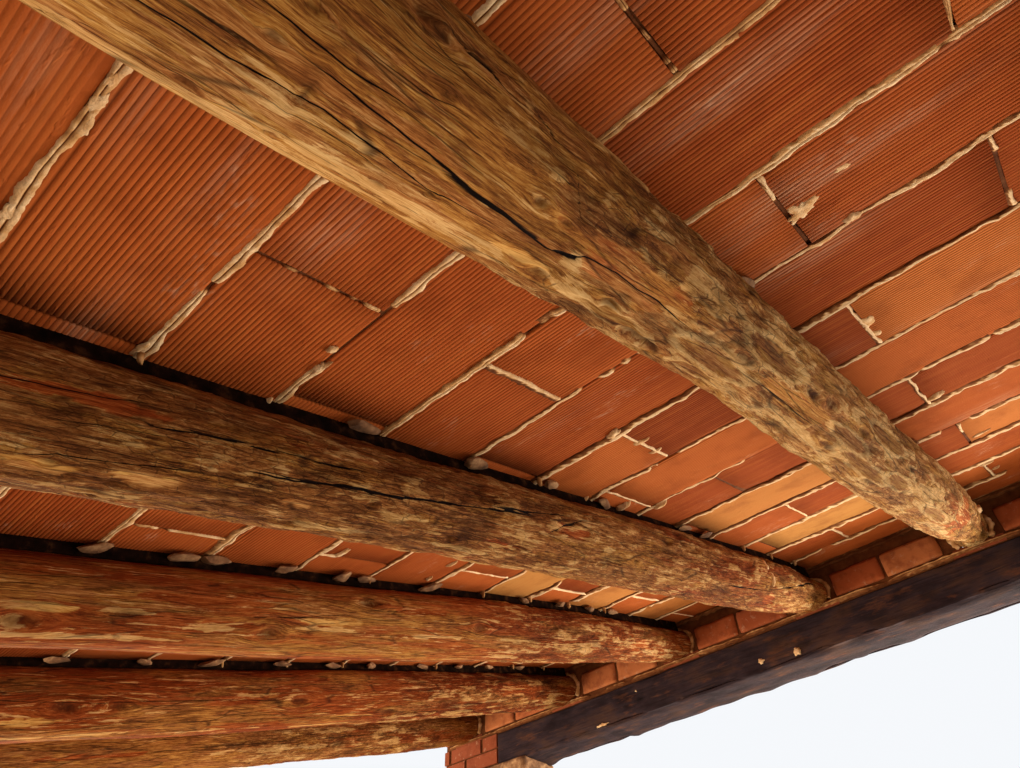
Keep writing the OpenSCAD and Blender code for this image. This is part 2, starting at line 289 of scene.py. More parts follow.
course_planks = []
for number in range(1, 19):
    spans = []
    for solid in solids_of(f"plank_course_{number:02d}"):
        low, high = off_roof(solid).min(axis=0), off_roof(solid).max(axis=0)
        spans.append((low[0], high[0], low[1]))
    course_planks.append(sorted(spans))
print("planks in the deck:", sum(len(spans) for spans in course_planks))

# %% [markdown]
# Materials are small node trees. One function adds a node, feeds its inputs
# and gives its output, and colours are written as sRGB hex and turned to
# linear light by one other. Three more write what every finish here needs: a
# texture at a real size, a sum of products, and a colour laid over another.

# %% Material helpers
def hex_colour(code):
    """An sRGB hex colour as linear light with full alpha."""
    parts = [int(code[k:k + 2], 16) / 255 for k in (1, 3, 5)]
    return tuple(c / 12.92 if c <= 0.04045 else ((c + 0.055) / 1.055) ** 2.4 for c in parts) + (1.0,)


def add(tree, kind, inputs=None, out=0, stops=None, **fields):
    """Adds a node with its fields and inputs, and gives its output that has the name or number out.

    An input is a number, a hex colour or another node's output. Stops are a colour ramp's."""
    node = tree.nodes.new("ShaderNode" + kind)
    for name, value in fields.items():
        setattr(node, name, value)
    for name, value in (inputs or {}).items():
        if isinstance(value, bpy.types.NodeSocket):
            tree.links.new(value, node.inputs[name])
        else:
            node.inputs[name].default_value = hex_colour(value) if isinstance(value, str) else value
    if stops:
        ramp_points = node.color_ramp.elements
        while len(ramp_points) < len(stops):
            ramp_points.new(0.5)
        for point, (place, code) in zip(ramp_points, stops):
            point.position = place
            point.color = hex_colour(code)
    return node.outputs[out]


def new_material(name, roughness, specular=0.35):
    """An empty material: its tree and its shader, with the fixed numbers set."""
    material = bpy.data.materials.new(name)
    material.use_nodes = True
    tree = material.node_tree
    shader = tree.nodes["Principled BSDF"]
    shader.inputs["Roughness"].default_value = roughness
    shader.inputs["Specular IOR Level"].default_value = specular
    return material, tree, shader


def pattern(tree, place, size_mm, detail=None, rough=0.6, stretch=(1, 1, 1), kind="TexNoise", out=0,
            **fields):
    """A texture whose lumps measure size_mm, longer along an axis where stretch is more than 1."""
    scale = tuple(1000 / (size_mm * longer) for longer in stretch)
    inputs = {"Vector": add(tree, "VectorMath", {0: place, 1: scale}, operation="MULTIPLY"), "Scale": 1.0}
    if detail:
        inputs |= {"Detail": detail, "Roughness": rough}
    return add(tree, kind, inputs, out, **fields)


def sum_of(tree, *terms, rise=None):
    """Adds up terms, each a product of numbers and patterns.

    With rise, the sum becomes 0 at the first value, 1 at the second and smooth between them."""
    total = None
    for factors in terms:
        part = factors[0]
        for factor in factors[1:]:
            part = add(tree, "Math", {0: part, 1: factor}, operation="MULTIPLY")
        total = part if total is None else add(tree, "Math", {0: total, 1: part}, operation="ADD")
    if rise:
        total = add(tree, "MapRange", {0: total, 1: rise[0], 2: rise[1]}, interpolation_type="SMOOTHSTEP")
    return total


def coat(tree, under, over, cover, share=1.0, rise=None):
    """Lays a colour over another as far as a pattern covers it, and share is the most that it hides."""
    amount = sum_of(tree, (share, sum_of(tree, (cover,), rise=rise)))
    return add(tree, "Mix", {0: amount, 6: under, 7: over}, out=2, data_type="RGBA")


def finish_surface(tree, shader, colour, layers):
    """Gives the shader its colour and one bump from layers: patterns with the depth in mm of each."""
    relief = sum_of(tree, *((depth_mm, height) for height, depth_mm in layers))
    tree.links.new(colour, shader.inputs["Base Color"])
    bump = add(tree, "Bump", {"Height": relief, "Distance": MM, "Strength": 1.0})
    tree.links.new(bump, shader.inputs["Normal"])


print("rust brown in linear light:", [round(c, 3) for c in hex_colour("#90401B")])

# %% [markdown]
# Fired clay planks are extruded, so their underside is combed with fine ribs
# along the plank. The ribs themselves are modelled. The material adds the
# colour of the firing, streaks along the plank, pale lime bloom on the ribs
# and painted shade in the grooves. Each plank keeps a tone of its own, as a
# number that its points carry.

# %% Fired clay for the planks
def fired_clay_plank():
    """Extruded terracotta, unglazed: matt, with a faint drag along the ribs."""
    material, tree, shader = new_material("fired_clay_plank", roughness=0.9, specular=0.04)
    place = add(tree, "TexCoord", out="Object")
    tone, groove, limed = (add(tree, "Attribute", out="Fac", attribute_name=name)
                           for name in ("tone", "groove", "limed"))
    clay = add(tree, "ValToRGB", {"Fac": tone},
               stops=[(0.0, "#702D11"), (0.3, "#97461D"), (0.55, "#AE5827"), (0.75, "#B96932"),
                      (1.0, "#C08646")])
    streaks = pattern(tree, place, 9, 3, stretch=(30, 1, 1))
    clouds = pattern(tree, place, 120, 4)
    colour = coat(tree, clay, "#BA6A30", streaks, 0.35, rise=(0.42, 0.75))
    colour = coat(tree, colour, "#74300F", clouds, 0.35, rise=(0.45, 0.7))
    bloom = sum_of(tree, (pattern(tree, place, 160, 6, 0.7, (1.8, 1, 1)),), rise=(0.56, 0.72))
    fleck = sum_of(tree, (pattern(tree, place, 7, 3, stretch=(3, 1, 1)),), rise=(0.45, 0.65))
    wiped = sum_of(tree, (pattern(tree, place, 6, 5, 0.7, (16, 1, 1)),), rise=(0.36, 0.66))
    colour = coat(tree, colour, "#C8A080", sum_of(tree, (0.5, bloom, fleck), (0.62, limed, wiped)))
    # Painted shade: the grooves between the ribs and the plank's edges are painted darker.
    colour = coat(tree, colour, "#3A1006", groove, 0.5)
    grit = pattern(tree, place, 2.5, 3)
    pits = sum_of(tree, (pattern(tree, place, 12, 2, stretch=(3, 1, 1)),), rise=(0.6, 0.75))
    finish_surface(tree, shader, colour, [(grit, 0.5), (pits, 0.8)])
    return material


clay_plank = fired_clay_plank()
print("material:", clay_plank.name)

# %% [markdown]
# Lime mortar is squeezed out of every joint. It is pale where it is clean,
# and brown where dust and clay have rubbed into it. On a hanging lip the crest
# is painted pale as a painted highlight and the back slope brown as painted
# shade, and an empty joint is painted dark as painted shade.

# %% Lime mortar
# The screed is painted dark below the first height over the planks, in the joints between them, and pale
# above the second.
SCREED_DARK_BELOW, SCREED_PALE_ABOVE = 0.008, 0.035


def lime_mortar():
    """Lime and sand, floated by hand: chalky, matt and gritty to the eye; dark in the joints, pale on top."""
    material, tree, shader = new_material("lime_mortar", roughness=0.95, specular=0.08)
    place = add(tree, "TexCoord", out="Object")
    clean_and_lit = add(tree, "Attribute", out="Fac", attribute_name="clean_and_lit")
    height = add(tree, "VectorMath", {0: place, 1: tuple(ROOF_AXES[2])}, out="Value", operation="DOT_PRODUCT")
    height = sum_of(tree, (height,), (-float(ROOF_ZERO @ ROOF_AXES[2]) - PLANK_THICKNESS,))
    clouds, sand = pattern(tree, place, 40, 5), pattern(tree, place, 3, 3)
    # This number holds how clean the mortar is and, on the beads, a painted highlight on the crest and
    # painted shade on the back slope and in empty joints.
    tint = add(tree, "ValToRGB", {"Fac": sum_of(tree, (0.75, clean_and_lit), (0.35, clouds))},
               stops=[(0.1, "#4A2410"), (0.35, "#7E4C28"), (0.6, "#C8965F"), (0.9, "#F0CEA0")])
    stains = sum_of(tree, (0.7, pattern(tree, place, 350, 7)), (0.3, clouds))
    aired = add(tree, "ValToRGB", {"Fac": stains},
                stops=[(0.34, "#8A7050"), (0.5, "#A68B68"), (0.66, "#C0A884")])
    colour = coat(tree, tint, aired, height, rise=(SCREED_DARK_BELOW, SCREED_PALE_ABOVE))
    colour = coat(tree, colour, "#6B4A2C", sand, 0.3, rise=(0.5, 0.7))
    finish_surface(tree, shader, colour, [(sand, 0.8), (pattern(tree, place, 12, 3), 2.0)])
    return material


mortar_mat = lime_mortar()
print("material:", mortar_mat.name)

# %% [markdown]
# The combed face of a plank is a row of rounded ribs with sharp grooves
# between them and a plain margin along both edges. A cube would need every
# rib cut by hand. It is quicker to add a grid, and give its rows the height
# of the ribs. One such face is made, then copied, cut to length and laid
# under each CAD plank, a little tilted, as planks in a mortar bed are.

# %% One combed face
RIB_PITCH = 0.0093
RIB_DEPTH = 0.0016
EDGE_MARGIN = 0.010
FACE_SEGMENTS = 6
RIB_SHAPE = [(0.0, 0.0), (0.12, 0.9), (0.5, 1.0), (0.88, 0.9)]

rib_count = int(round((PLANK_WIDTH - 2 * EDGE_MARGIN) / RIB_PITCH))
rib_pitch = (PLANK_WIDTH - 2 * EDGE_MARGIN) / rib_count
rib_rows = [(EDGE_MARGIN + (k + t) * rib_pitch, h) for k in range(rib_count) for t, h in RIB_SHAPE]
FACE_ROWS = ([(0.0, 0.0), (0.0, 0.75), (0.003, 0.95), (0.006, 1.0)] + rib_rows
             + [(PLANK_WIDTH - EDGE_MARGIN, 0.0), (PLANK_WIDTH - 0.006, 1.0), (PLANK_WIDTH - 0.003, 0.95),
                (PLANK_WIDTH, 0.75), (PLANK_WIDTH, 0.0)])
FACE_V = np.array([v for v, _ in FACE_ROWS])
FACE_H = np.array([h for _, h in FACE_ROWS])
UPSTAND = 0.007

combed_face, FACE_COLUMN, FACE_ROW = new_grid(FACE_SEGMENTS + 2, len(FACE_ROWS) - 1)
print("ribs on a plank:", rib_count, " rows of points:", len(FACE_ROWS))

# %% Lay a combed face under every plank
PLANK_TONES = [(960, 250, 0.74), (940, 345, 0.58), (990, 430, 0.80), (530, 575, 0.98), (600, 590, 0.92),
               (650, 605, 0.85), (790, 487, 0.90), (865, 500, 1.0), (640, 468, 0.62), (700, 415, 0.55),
               (720, 450, 0.62), (900, 160, 0.40), (840, 320, 0.15), (480, 420, 0.35), (940, 385, 0.30)]
PLANK_RIBS = [(20, 30, 0.42), (60, 60, 0.42), (8, 150, 0.42), (170, 160, 0.46), (60, 250, 0.46),
              (560, 60, 0.9), (860, 70, 1.35), (940, 60, 1.35), (940, 120, 1.35), (900, 190, 1.3),
              (760, 120, 1.1), (250, 210, 0.9), (330, 270, 1.0)]
LIME_STREAKS = [(806, 252, 240, 90, 0.9), (728, 85, 260, 60, 0.9), (700, 118, 200, 40, 0.7),
                (830, 168, 300, 50, 0.9), (780, 190, 160, 60, 0.7), (870, 142, 260, 40, 0.7),
                (762, 205, 130, 70, 0.8), (745, 235, 120, 60, 0.6), (590, 30, 260, 60, 0.6),
                (330, 235, 160, 80, 0.7), (150, 90, 160, 60, 0.35), (35, 60, 220, 50, 0.4),
                (80, 330, 200, 50, 0.7), (225, 170, 200, 40, 0.3), (960, 30, 240, 40, 0.4),
                (640, 100, 200, 50, 0.3), (985, 405, 260, 70, 0.8), (950, 300, 260, 40, 0.3),
                (820, 360, 160, 50, 0.4), (560, 420, 200, 50, 0.3)]
tone_spots = [(*on_deck(px, py), tone) for px, py, tone in PLANK_TONES]
rib_spots = [(*on_deck(px, py), share) for px, py, share in PLANK_RIBS]
lime_spots = [(*on_deck(px, py), length * MM, width * MM, amount)
              for px, py, length, width, amount in LIME_STREAKS]
deck_left = min(left for spans in course_planks for left, _, _ in spans)
deck_right = max(right for spans in course_planks for _, right, _ in spans)
dice = np.random.default_rng(7)


def picked(spots, left, right, v0, otherwise):
    """The value that the photograph gives for a plank, if one of the spots is on it."""
    for u, v, value in spots:
        if left <= u <= right and v0 <= v <= v0 + PLANK_WIDTH:
            otherwise = value
    return otherwise


def lay_face(left, right, v0, drop, tilt_u, tilt_v, tone, ribs):
    """A copy of the combed face, cut to a plank's length and set in its place."""
    face = combed_face.copy()
    face.data = combed_face.data.copy()
    bpy.context.scene.collection.objects.link(face)
    share = np.clip((FACE_COLUMN - 1) / FACE_SEGMENTS, 0, 1)
    u = left + share * (right - left)
    v = v0 + FACE_V[FACE_ROW]
    worn = ribs * (1 + 0.25 * noise(np.stack([u, v, 0 * u], axis=1), (0.2, 0.03, 1), seed=3))
    height = 0.0005 + RIB_DEPTH * FACE_H[FACE_ROW] * worn
    height += drop + tilt_u * (u - (left + right) / 2) + tilt_v * (v - v0 - PLANK_WIDTH / 2)
    edge = (FACE_COLUMN == 0) | (FACE_COLUMN == FACE_SEGMENTS + 2)
    edge |= (FACE_ROW == 0) | (FACE_ROW == len(FACE_ROWS) - 1)
    w = np.where(edge, UPSTAND, -height)
    limed = np.zeros(len(u))
    for u_lime, v_lime, length, width, amount in lime_spots:
        far = ((u - u_lime) / length) ** 2 + ((v - v_lime) / width) ** 2
        limed = np.maximum(limed, amount * np.exp(-far * 4))
    outside = 0.0006
    u = u + outside * np.sign(share - 0.5) * (np.abs(share - 0.5) > 0.49)
    from_middle = v - v0 - PLANK_WIDTH / 2
    v = v + outside * np.sign(from_middle) * (np.abs(from_middle) > 0.4999 * PLANK_WIDTH)
    u = np.clip(u, deck_left + 0.0004, deck_right - 0.0004)
    move_points(face, on_roof(u, v, w))
    paint(face, "tone", np.full(len(u), tone))
    # The grooves and the plank's edges are marked here for painted shade.
    paint(face, "groove", (1 - np.clip(FACE_H[FACE_ROW], 0, 1)) * min(ribs, 1))
    paint(face, "limed", limed)
    return face


faces = []
for course, spans in enumerate(course_planks):
    for left, right, v0 in spans:
        drop, tilt_u, tilt_v, tone = dice.random(4)
        tone = picked(tone_spots, left, right, v0, 0.22 + 0.36 * tone)
        ribs = picked(rib_spots, left, right, v0, 0.85 + 0.3 * drop)
        drop *= 0.002 + 0.002 * ramp(course, 4, 8)
        tilt_u, tilt_v = 0.005 * (tilt_u - 0.5), 0.014 * (tilt_v - 0.5)
        faces.append(lay_face(left, right, v0, drop, tilt_u, tilt_v, tone, ribs))
bpy.data.objects.remove(combed_face)
half = len(faces) // 2
for name, group in (("combed_faces_low", faces[:half]), ("combed_faces_high", faces[half:])):
    piece = join(group, name)
    close_up(piece, fill=True)
    finish_piece(piece, clay_plank)

# %% [markdown]
# The rafters are peeled poles: crooked, tapering, never round, and hewn flat
# where they sit. The CAD poles have that form, as 16-sided rings. Each ring
# gives a centre, a radius and its bulges, so the dressed pole keeps the CAD
# pole's course. A seat hides the lower part of some rings, and for those a
# circle is fitted to the points that are left.

# %% Read the form of a CAD pole
FORM_STEP = 0.01
FORM_BLUR = 0.09
FULL_RING = 16
SEAT_Z = {"head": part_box("seat_tiles")[1].z}
SEAT_Z["foot"] = foot_beam_box[1].z + SEAT_Z["head"] - head_beam_box[1].z
SEAT_SLACK = 0.008
SEAT_STEEPNESS = math.tan(math.radians(60))


def seat_floor(y):
    """How low a pole may reach over the beams: their tiles' tops, then steeply down."""
    head = SEAT_Z["head"] - np.maximum(FACE_Y - SEAT_SLACK - y, 0) * SEAT_STEEPNESS
    foot = SEAT_Z["foot"] - np.maximum(y - foot_beam_box[1].y - SEAT_SLACK, 0) * SEAT_STEEPNESS
    return np.maximum(head, foot)


def circle_through(u, w):
    """The centre and radius of the circle that fits points best."""
    fit = np.linalg.lstsq(np.stack([u, w, np.ones_like(u)], axis=1), u * u + w * w, rcond=None)[0]
    return fit[0] / 2, fit[1] / 2, math.sqrt(fit[2] + (fit[0] ** 2 + fit[1] ** 2) / 4)


def pole_form(node):
    """Centre, mean radius and bulges of a CAD pole, in even steps up the slope."""
    points = np.unique(points_of(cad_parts[node]).round(5), axis=0)
    clear = points[points[:, 2] > seat_floor(points[:, 1]) + 0.001]
    roof = off_roof(clear)
    stations, rings = [], []
    for v in np.unique(roof[:, 1].round(3)):
        ring = roof[np.abs(roof[:, 1] - v) < 0.0006]
        if len(ring) >= FULL_RING / 2:
            u, w, radius = circle_through(ring[:, 0], ring[:, 2])
            bulges = np.zeros(3, complex)
            if len(ring) == FULL_RING:
                angle = np.arctan2(ring[:, 2] - w, ring[:, 0] - u)
                reach = np.hypot(ring[:, 2] - w, ring[:, 0] - u) / radius - 1
                bulges = np.array([np.mean(reach * np.exp(-1j * n * angle)) * 2 for n in (2, 3, 4)])
            elif rings:
                bulges = rings[-1][3:]
            stations.append(v)
            rings.append([u, w, radius, *bulges])
    even = np.arange(roof[:, 1].min() - 0.3, roof[:, 1].max() + 0.3, FORM_STEP)
    table = np.array(rings)
    even_table = np.stack([np.interp(even, stations, column.real)
                           + 1j * np.interp(even, stations, column.imag)
                           for column in table.T], axis=1)
    window = np.exp(-0.5 * (np.arange(-30, 31) * FORM_STEP / FORM_BLUR) ** 2)
    window /= window.sum()
    padded = np.pad(even_table, ((30, 30), (0, 0)), mode="edge")
    even_table = np.stack([np.convolve(column, window, mode="valid") for column in padded.T], axis=1)
    return {"v": even, "table": even_table, "ends": (roof[:, 1].min(), roof[:, 1].max())}


def pole_at(form, v, angle):
    """Centre u and w, and the radius at an angle, of a pole at places up the slope."""
    u, w, radius = (np.interp(v, form["v"], form["table"][:, k].real) for k in range(3))
    for k, n in enumerate((2, 3, 4)):
        bulge = (np.interp(v, form["v"], form["table"][:, 3 + k].real)
                 + 1j * np.interp(v, form["v"], form["table"][:, 3 + k].imag))
        radius = radius + radius * (bulge * np.exp(1j * n * angle)).real
    return u, w, radius


pole_names = [f"log_rafter_{n}" for n in range(1, 7)]
forms = {name: pole_form(name) for name in pole_names}
for name, form in forms.items():
    u, w, radius = pole_at(form, np.array([-3.5, -2.0, -0.5]), 0.0)
    print(name, "centre u", u.round(3), "radius", radius.round(3), "ends", np.round(form["ends"], 3))

# %% [markdown]
# The photograph shows cracks, knots and bare patches at known places. Each is
# written as pixels of the photograph, and this finds the spot on a pole that
# a pixel shows: of all points on the side that faces the camera, the nearest.

# %% From a pixel to a spot on a pole
def pole_chart(name):
    """A grid of spots on the visible side of a pole, and where they fall in the picture."""
    form = forms[name]
    v, angle = np.meshgrid(np.arange(form["ends"][0], form["ends"][1], 0.008),
                           np.radians(np.arange(-200, 21, 1.5)), indexing="ij")
    u, w, radius = pole_at(form, v, angle)
    place = on_roof(u + radius * np.cos(angle), v, w + radius * np.sin(angle))
    outward = np.stack([np.cos(angle), 0 * angle, np.sin(angle)], axis=-1) @ ROOF_AXES
    facing = np.sum(outward * (EYE - place), axis=-1) > 0
    pixels, depth = in_picture(place)
    seen = facing & (depth > 0.1)
    return v[seen], angle[seen], pixels[seen]


charts = {name: pole_chart(name) for name in pole_names[1:]}


def pole_spot(name, px, py):
    """How far up the slope, and at what angle round the pole, a pixel shows it."""
    v, angle, pixels = charts[name]
    nearest = np.argmin(np.sum((pixels - (px, py)) ** 2, axis=1))
    return v[nearest], angle[nearest]


print("pixel 560,300 on the near pole:", np.round(pole_spot("log_rafter_2", 560, 300), 3))

# %% [markdown]
# These are the marks that make each pole itself, as given in the picture.
# A crack is a line of pixels with its width and depth in millimetres. A knot
# is a pixel, then its length, width and depth in millimetres. Patches are
# written the same way, and say what they do to the surface.

# %% Cracks, knots and patches of the visible poles
POLE_MARKS = {
    "log_rafter_2": {
        "cracks": [
            (1.7, 4, [(133, 0), (175, 24), (225, 54), (275, 82), (300, 97), (325, 112), (345, 125),
                      (385, 158), (425, 188), (475, 215)]),
            (1.3, 3, [(183, 2), (225, 28), (250, 45)]),
            (1.7, 4, [(262, 0), (300, 28), (350, 70), (385, 93)]),
            (2.2, 6, [(330, 75), (375, 112), (395, 125), (425, 150), (450, 172), (475, 192), (500, 212),
                      (525, 232), (547, 250), (585, 258), (620, 276), (640, 292), (662, 305), (680, 321)]),
            (1.3, 3, [(315, 125), (350, 150), (385, 175)]),
            (1.3, 3, [(430, 40), (450, 60), (475, 82)]),
            (1.3, 3, [(450, 30), (475, 58), (492, 72), (510, 95)]),
            (1.3, 3, [(380, 60), (425, 92), (455, 108)]),
            (1.7, 4, [(530, 105), (557, 140)]),
            (1.7, 4, [(575, 165), (570, 185), (580, 215)]),
            (1.3, 3, [(740, 372), (770, 392), (800, 415), (812, 425)]),
            (1.7, 5, [(640, 350), (700, 390), (760, 420)]),
            (1.3, 3, [(20, 0), (80, 22), (150, 58), (215, 92)])],
        "knots": [(186, 84, 30, 10, 4), (375, 182, 16, 8, 3), (270, 135, 14, 7, 3), (430, 193, 8, 6, 2),
                  (310, 6, 22, 9, 3), (303, 88, 8, 26, 2), (275, 38, 16, 8, 2), (426, 12, 36, 26, 5),
                  (443, 36, 26, 14, 3), (537, 274, 56, 22, 5), (540, 200, 26, 12, 3), (570, 225, 24, 8, 2),
                  (610, 304, 44, 16, 6), (641, 338, 115, 20, 10), (446, 96, 14, 8, 2), (568, 315, 70, 14, 5),
                  (814, 396, 70, 16, 5), (832, 404, 60, 22, 4), (828, 446, 100, 18, 4),
                  (870, 482, 110, 14, 5), (866, 433, 80, 16, 4), (745, 357, 60, 14, 3),
                  (912, 470, 90, 16, 3)],
        "hollows": [(713, 359, 190, 36, 5), (778, 358, 200, 36, 5), (900, 484, 170, 30, 2),
                    (862, 467, 300, 26, 2), (890, 440, 220, 38, 2), (852, 441, 190, 26, 3),
                    (692, 370, 130, 20, 3), (615, 318, 150, 20, 3), (935, 515, 240, 30, 2)],
        "bare": [(634, 278, 330, 66), (780, 394, 170, 40), (815, 413, 260, 34), (965, 515, 260, 150)],
        "golden": [(528, 262, 100, 20)],
        "pale": [(250, 128, 420, 26), (120, 55, 420, 30), (400, 205, 420, 34), (572, 292, 170, 26),
                 (715, 300, 230, 44), (700, 336, 260, 34), (745, 376, 300, 22), (735, 396, 420, 30),
                 (795, 374, 240, 20), (790, 427, 420, 28), (880, 475, 300, 22), (930, 495, 420, 40),
                 (935, 528, 320, 34), (840, 455, 200, 20)],
        "dark": [(460, 150, 60, 26), (480, 175, 60, 26), (503, 203, 60, 20), (440, 117, 70, 16),
                 (440, 60, 300, 40), (540, 150, 260, 34), (630, 200, 200, 26), (330, 20, 240, 24),
                 (640, 250, 200, 16), (615, 225, 120, 24), (745, 362, 160, 16), (720, 290, 160, 12)],
        "rough": (-2.95, 0.0), "red": 0.14, "islands": 0.8, "tone": (0.55, 0.74)},
    "log_rafter_3": {
        "cracks": [
            (1.7, 4, [(0, 375), (20, 379), (60, 387), (90, 392), (120, 397), (140, 400)]),
            (1.6, 5, [(140, 420), (160, 428), (190, 433), (220, 438), (240, 442), (260, 448), (280, 452),
                      (300, 458), (320, 462), (360, 470)]),
            (1.7, 4, [(0, 452), (30, 452), (60, 454), (90, 459), (120, 463), (150, 466), (170, 468),
                      (200, 474)]),
            (1.7, 4, [(0, 478), (20, 481), (60, 489)]),
            (2.4, 7, [(265, 474), (290, 479), (320, 483), (340, 485), (360, 489), (380, 494), (400, 497),
                      (430, 500), (455, 503), (480, 508), (500, 511), (525, 515)]),
            (1.7, 4, [(500, 508), (530, 512), (562, 516)]),
            (1.3, 3, [(60, 420), (100, 425), (145, 432), (200, 447)]),
            (1.7, 4, [(545, 535), (560, 528), (580, 522)]),
            (1.7, 4, [(560, 505), (640, 528), (700, 548)]),
            (2.2, 5, [(735, 586), (765, 590), (800, 586), (812, 583)])],
        "knots": [(452, 540, 30, 14, 6), (330, 478, 12, 10, 3), (48, 460, 14, 12, 3), (212, 467, 14, 8, 3),
                  (145, 405, 10, 26, 4), (372, 505, 22, 10, 4), (636, 562, 20, 12, 5), (415, 531, 20, 7, 3)],
        "hollows": [(520, 548, 50, 12, 3), (600, 565, 40, 12, 3)],
        "bare": [(100, 400, 200, 26), (30, 385, 140, 12), (575, 532, 150, 34), (500, 544, 120, 16),
                 (770, 600, 90, 60)],
        "golden": [(30, 463, 130, 20), (146, 480, 110, 26), (300, 505, 60, 14)],
        "pale": [(30, 487, 70, 12), (470, 552, 240, 14), (570, 568, 120, 14), (610, 549, 60, 16),
                 (340, 530, 260, 20)],
        # These dark patches are dark wood; along the pole's upper side they are painted shade as well.
        "dark": [(80, 438, 260, 16), (60, 370, 300, 24), (240, 420, 300, 30), (200, 395, 300, 30),
                 (430, 485, 340, 30), (560, 505, 200, 24), (340, 445, 260, 26)],
        "rough": (-3.3, -0.25), "red": 0.30, "islands": 0.2, "tone": (0.45, 0.54)},
    "log_rafter_4": {
        "cracks": [(1.4, 4, [(254, 618), (300, 617), (348, 615)]),
                   (0.8, 2, [(0, 600), (120, 606), (260, 625)]),
                   (1.0, 3, [(380, 625), (470, 633), (560, 640)]),
                   (1.0, 3, [(60, 640), (200, 645), (330, 650)])],
        "knots": [(16, 620, 90, 34, 6), (268, 634, 70, 30, 6), (370, 602, 90, 30, 6), (480, 628, 60, 28, 5),
                  (127, 613, 70, 10, 3)],
        "hollows": [],
        "bare": [(640, 645, 160, 60), (190, 600, 220, 22), (230, 624, 160, 14), (420, 612, 220, 18)],
        "golden": [(20, 605, 160, 16), (330, 622, 260, 14)],
        "pale": [(40, 634, 300, 12), (120, 637, 260, 12), (205, 628, 220, 14), (250, 635, 160, 10),
                 (330, 630, 260, 16), (430, 637, 300, 12), (520, 641, 280, 14), (130, 611, 160, 8),
                 (300, 610, 140, 8), (590, 645, 200, 14), (450, 622, 160, 10), (610, 622, 160, 12)],
        "dark": [(100, 582, 300, 14), (330, 600, 200, 12), (200, 604, 200, 8), (230, 622, 120, 8),
                 (90, 622, 160, 7), (380, 622, 200, 10), (500, 616, 260, 12), (205, 612, 280, 18),
                 (228, 630, 180, 16)],
        "rough": (-1.5, -0.3), "red": 0.55, "islands": 0.2, "tone": (0.50, 0.54)},
    "log_rafter_5": {
        "cracks": [(1.7, 4, [(0, 700), (100, 703), (220, 700), (300, 701)]),
                   (1.7, 4, [(250, 720), (380, 716)])],
        "knots": [(64, 707, 90, 32, 6), (118, 706, 60, 22, 4), (299, 701, 80, 32, 6), (388, 713, 80, 32, 6)],
        "hollows": [],
        "bare": [(95, 722, 240, 24), (238, 700, 220, 24), (520, 690, 300, 60)],
        "golden": [(20, 722, 200, 20), (350, 716, 220, 14)],
        "pale": [(60, 736, 500, 12), (200, 731, 420, 12), (320, 725, 320, 12), (160, 712, 120, 8),
                 (118, 722, 120, 8), (400, 716, 160, 12), (460, 712, 200, 10), (500, 700, 200, 10),
                 (540, 705, 160, 10)],
        "dark": [(60, 690, 300, 12), (420, 690, 200, 12), (280, 690, 200, 10), (90, 712, 120, 7),
                 (330, 700, 160, 8)],
        "rough": (-1.3, -0.3), "red": 0.58, "islands": 0.2, "tone": (0.38, 0.38)},
    "log_rafter_6": {
        "cracks": [(1.7, 4, [(150, 752), (300, 740), (400, 732)])],
        "knots": [(330, 738, 30, 22, 5)], "hollows": [],
        "bare": [(90, 757, 400, 20)], "golden": [], "pale": [(290, 748, 700, 22), (400, 730, 300, 16)],
        "dark": [(80, 750, 600, 30), (430, 728, 160, 20)],
        "rough": (-1.6, -0.4), "red": 0.25, "islands": 0.3, "tone": (0.42, 0.42)},
    "log_rafter_1": {"cracks": [], "knots": [], "hollows": [], "bare": [], "golden": [], "pale": [],
                     "dark": [], "rough": (-1.6, -0.4), "red": 0.25, "islands": 0.5, "tone": (0.5, 0.5)}}
print("cracks and knots placed by eye:",
      sum(len(marks["cracks"]) + len(marks["knots"]) for marks in POLE_MARKS.values()))

# %% [markdown]
# A pole could be sculpted with brushes, but brushes need a window. Here a
# flat grid is rolled into a tube, and each point is pushed in or out by the
# sum of its layers: the CAD pole's bulges, long ridges, plates of inner bark
# that flake off, and the marks above. Beside the shape, each point keeps how
# dark, pale, red and rough it is. A crack is thinner than the grid, so points
# keep their distance to it instead, with a sign for its two sides, and the
# material draws the line.

# %% Cells, for bark that comes off in plates
def cells_of(points, cell, seed):
    """The random number of the nearest jittered cell, and how far a point is from the cell's rim."""
    points = np.asarray(points, float) / np.asarray(cell, float) + 9.1 * seed
    home = np.floor(points).astype(np.int64)
    nearest, second, own = (np.full(len(points), value) for value in (9.0, 9.0, 0.0))
    for k in range(27):
        step = np.array([k % 3, k // 3 % 3, k // 9]) - 1
        key, rolls = (home + step) @ CORNER_PRIMES + seed * 2654435, []
        for _ in range(4):
            key = ((key ^ (key >> 13)) * 1274126177 + 12345) & 0x7FFFFFFF
            rolls.append(((key ^ (key >> 16)) & 0xFFFF) / 65535)
        far = np.linalg.norm(points - home - step - np.stack(rolls[:3], axis=1), axis=1)
        own = np.where(far < nearest, rolls[3], own)
        second = np.minimum(second, np.maximum(far, nearest))
        nearest = np.minimum(nearest, far)
    return own, second - nearest


# %% Sculpt one pole
CRACK_SOFTNESS = 0.006


def oval(v, arc, mean, spot, length, width):
    """Distances from a spot, along and round a pole, where 1 is an oval's edge."""
    return (v - spot[0]) / (length * MM / 2), (arc - spot[1] * mean) / (width * MM / 2)


def patches(name, kind, v, arc, mean, ragged):
    """1 inside any of a pole's patches of one kind and 0 outside, with ragged edges."""
    cover = np.zeros_like(v)
    for px, py, length, width, *_ in POLE_MARKS[name][kind]:
        dv, ds = oval(v, arc, mean, pole_spot(name, px, py), length, width)
        cover = np.maximum(cover, 1 - ramp(np.hypot(dv, ds) + 0.75 * ragged, 0.85, 1.05))
    return cover


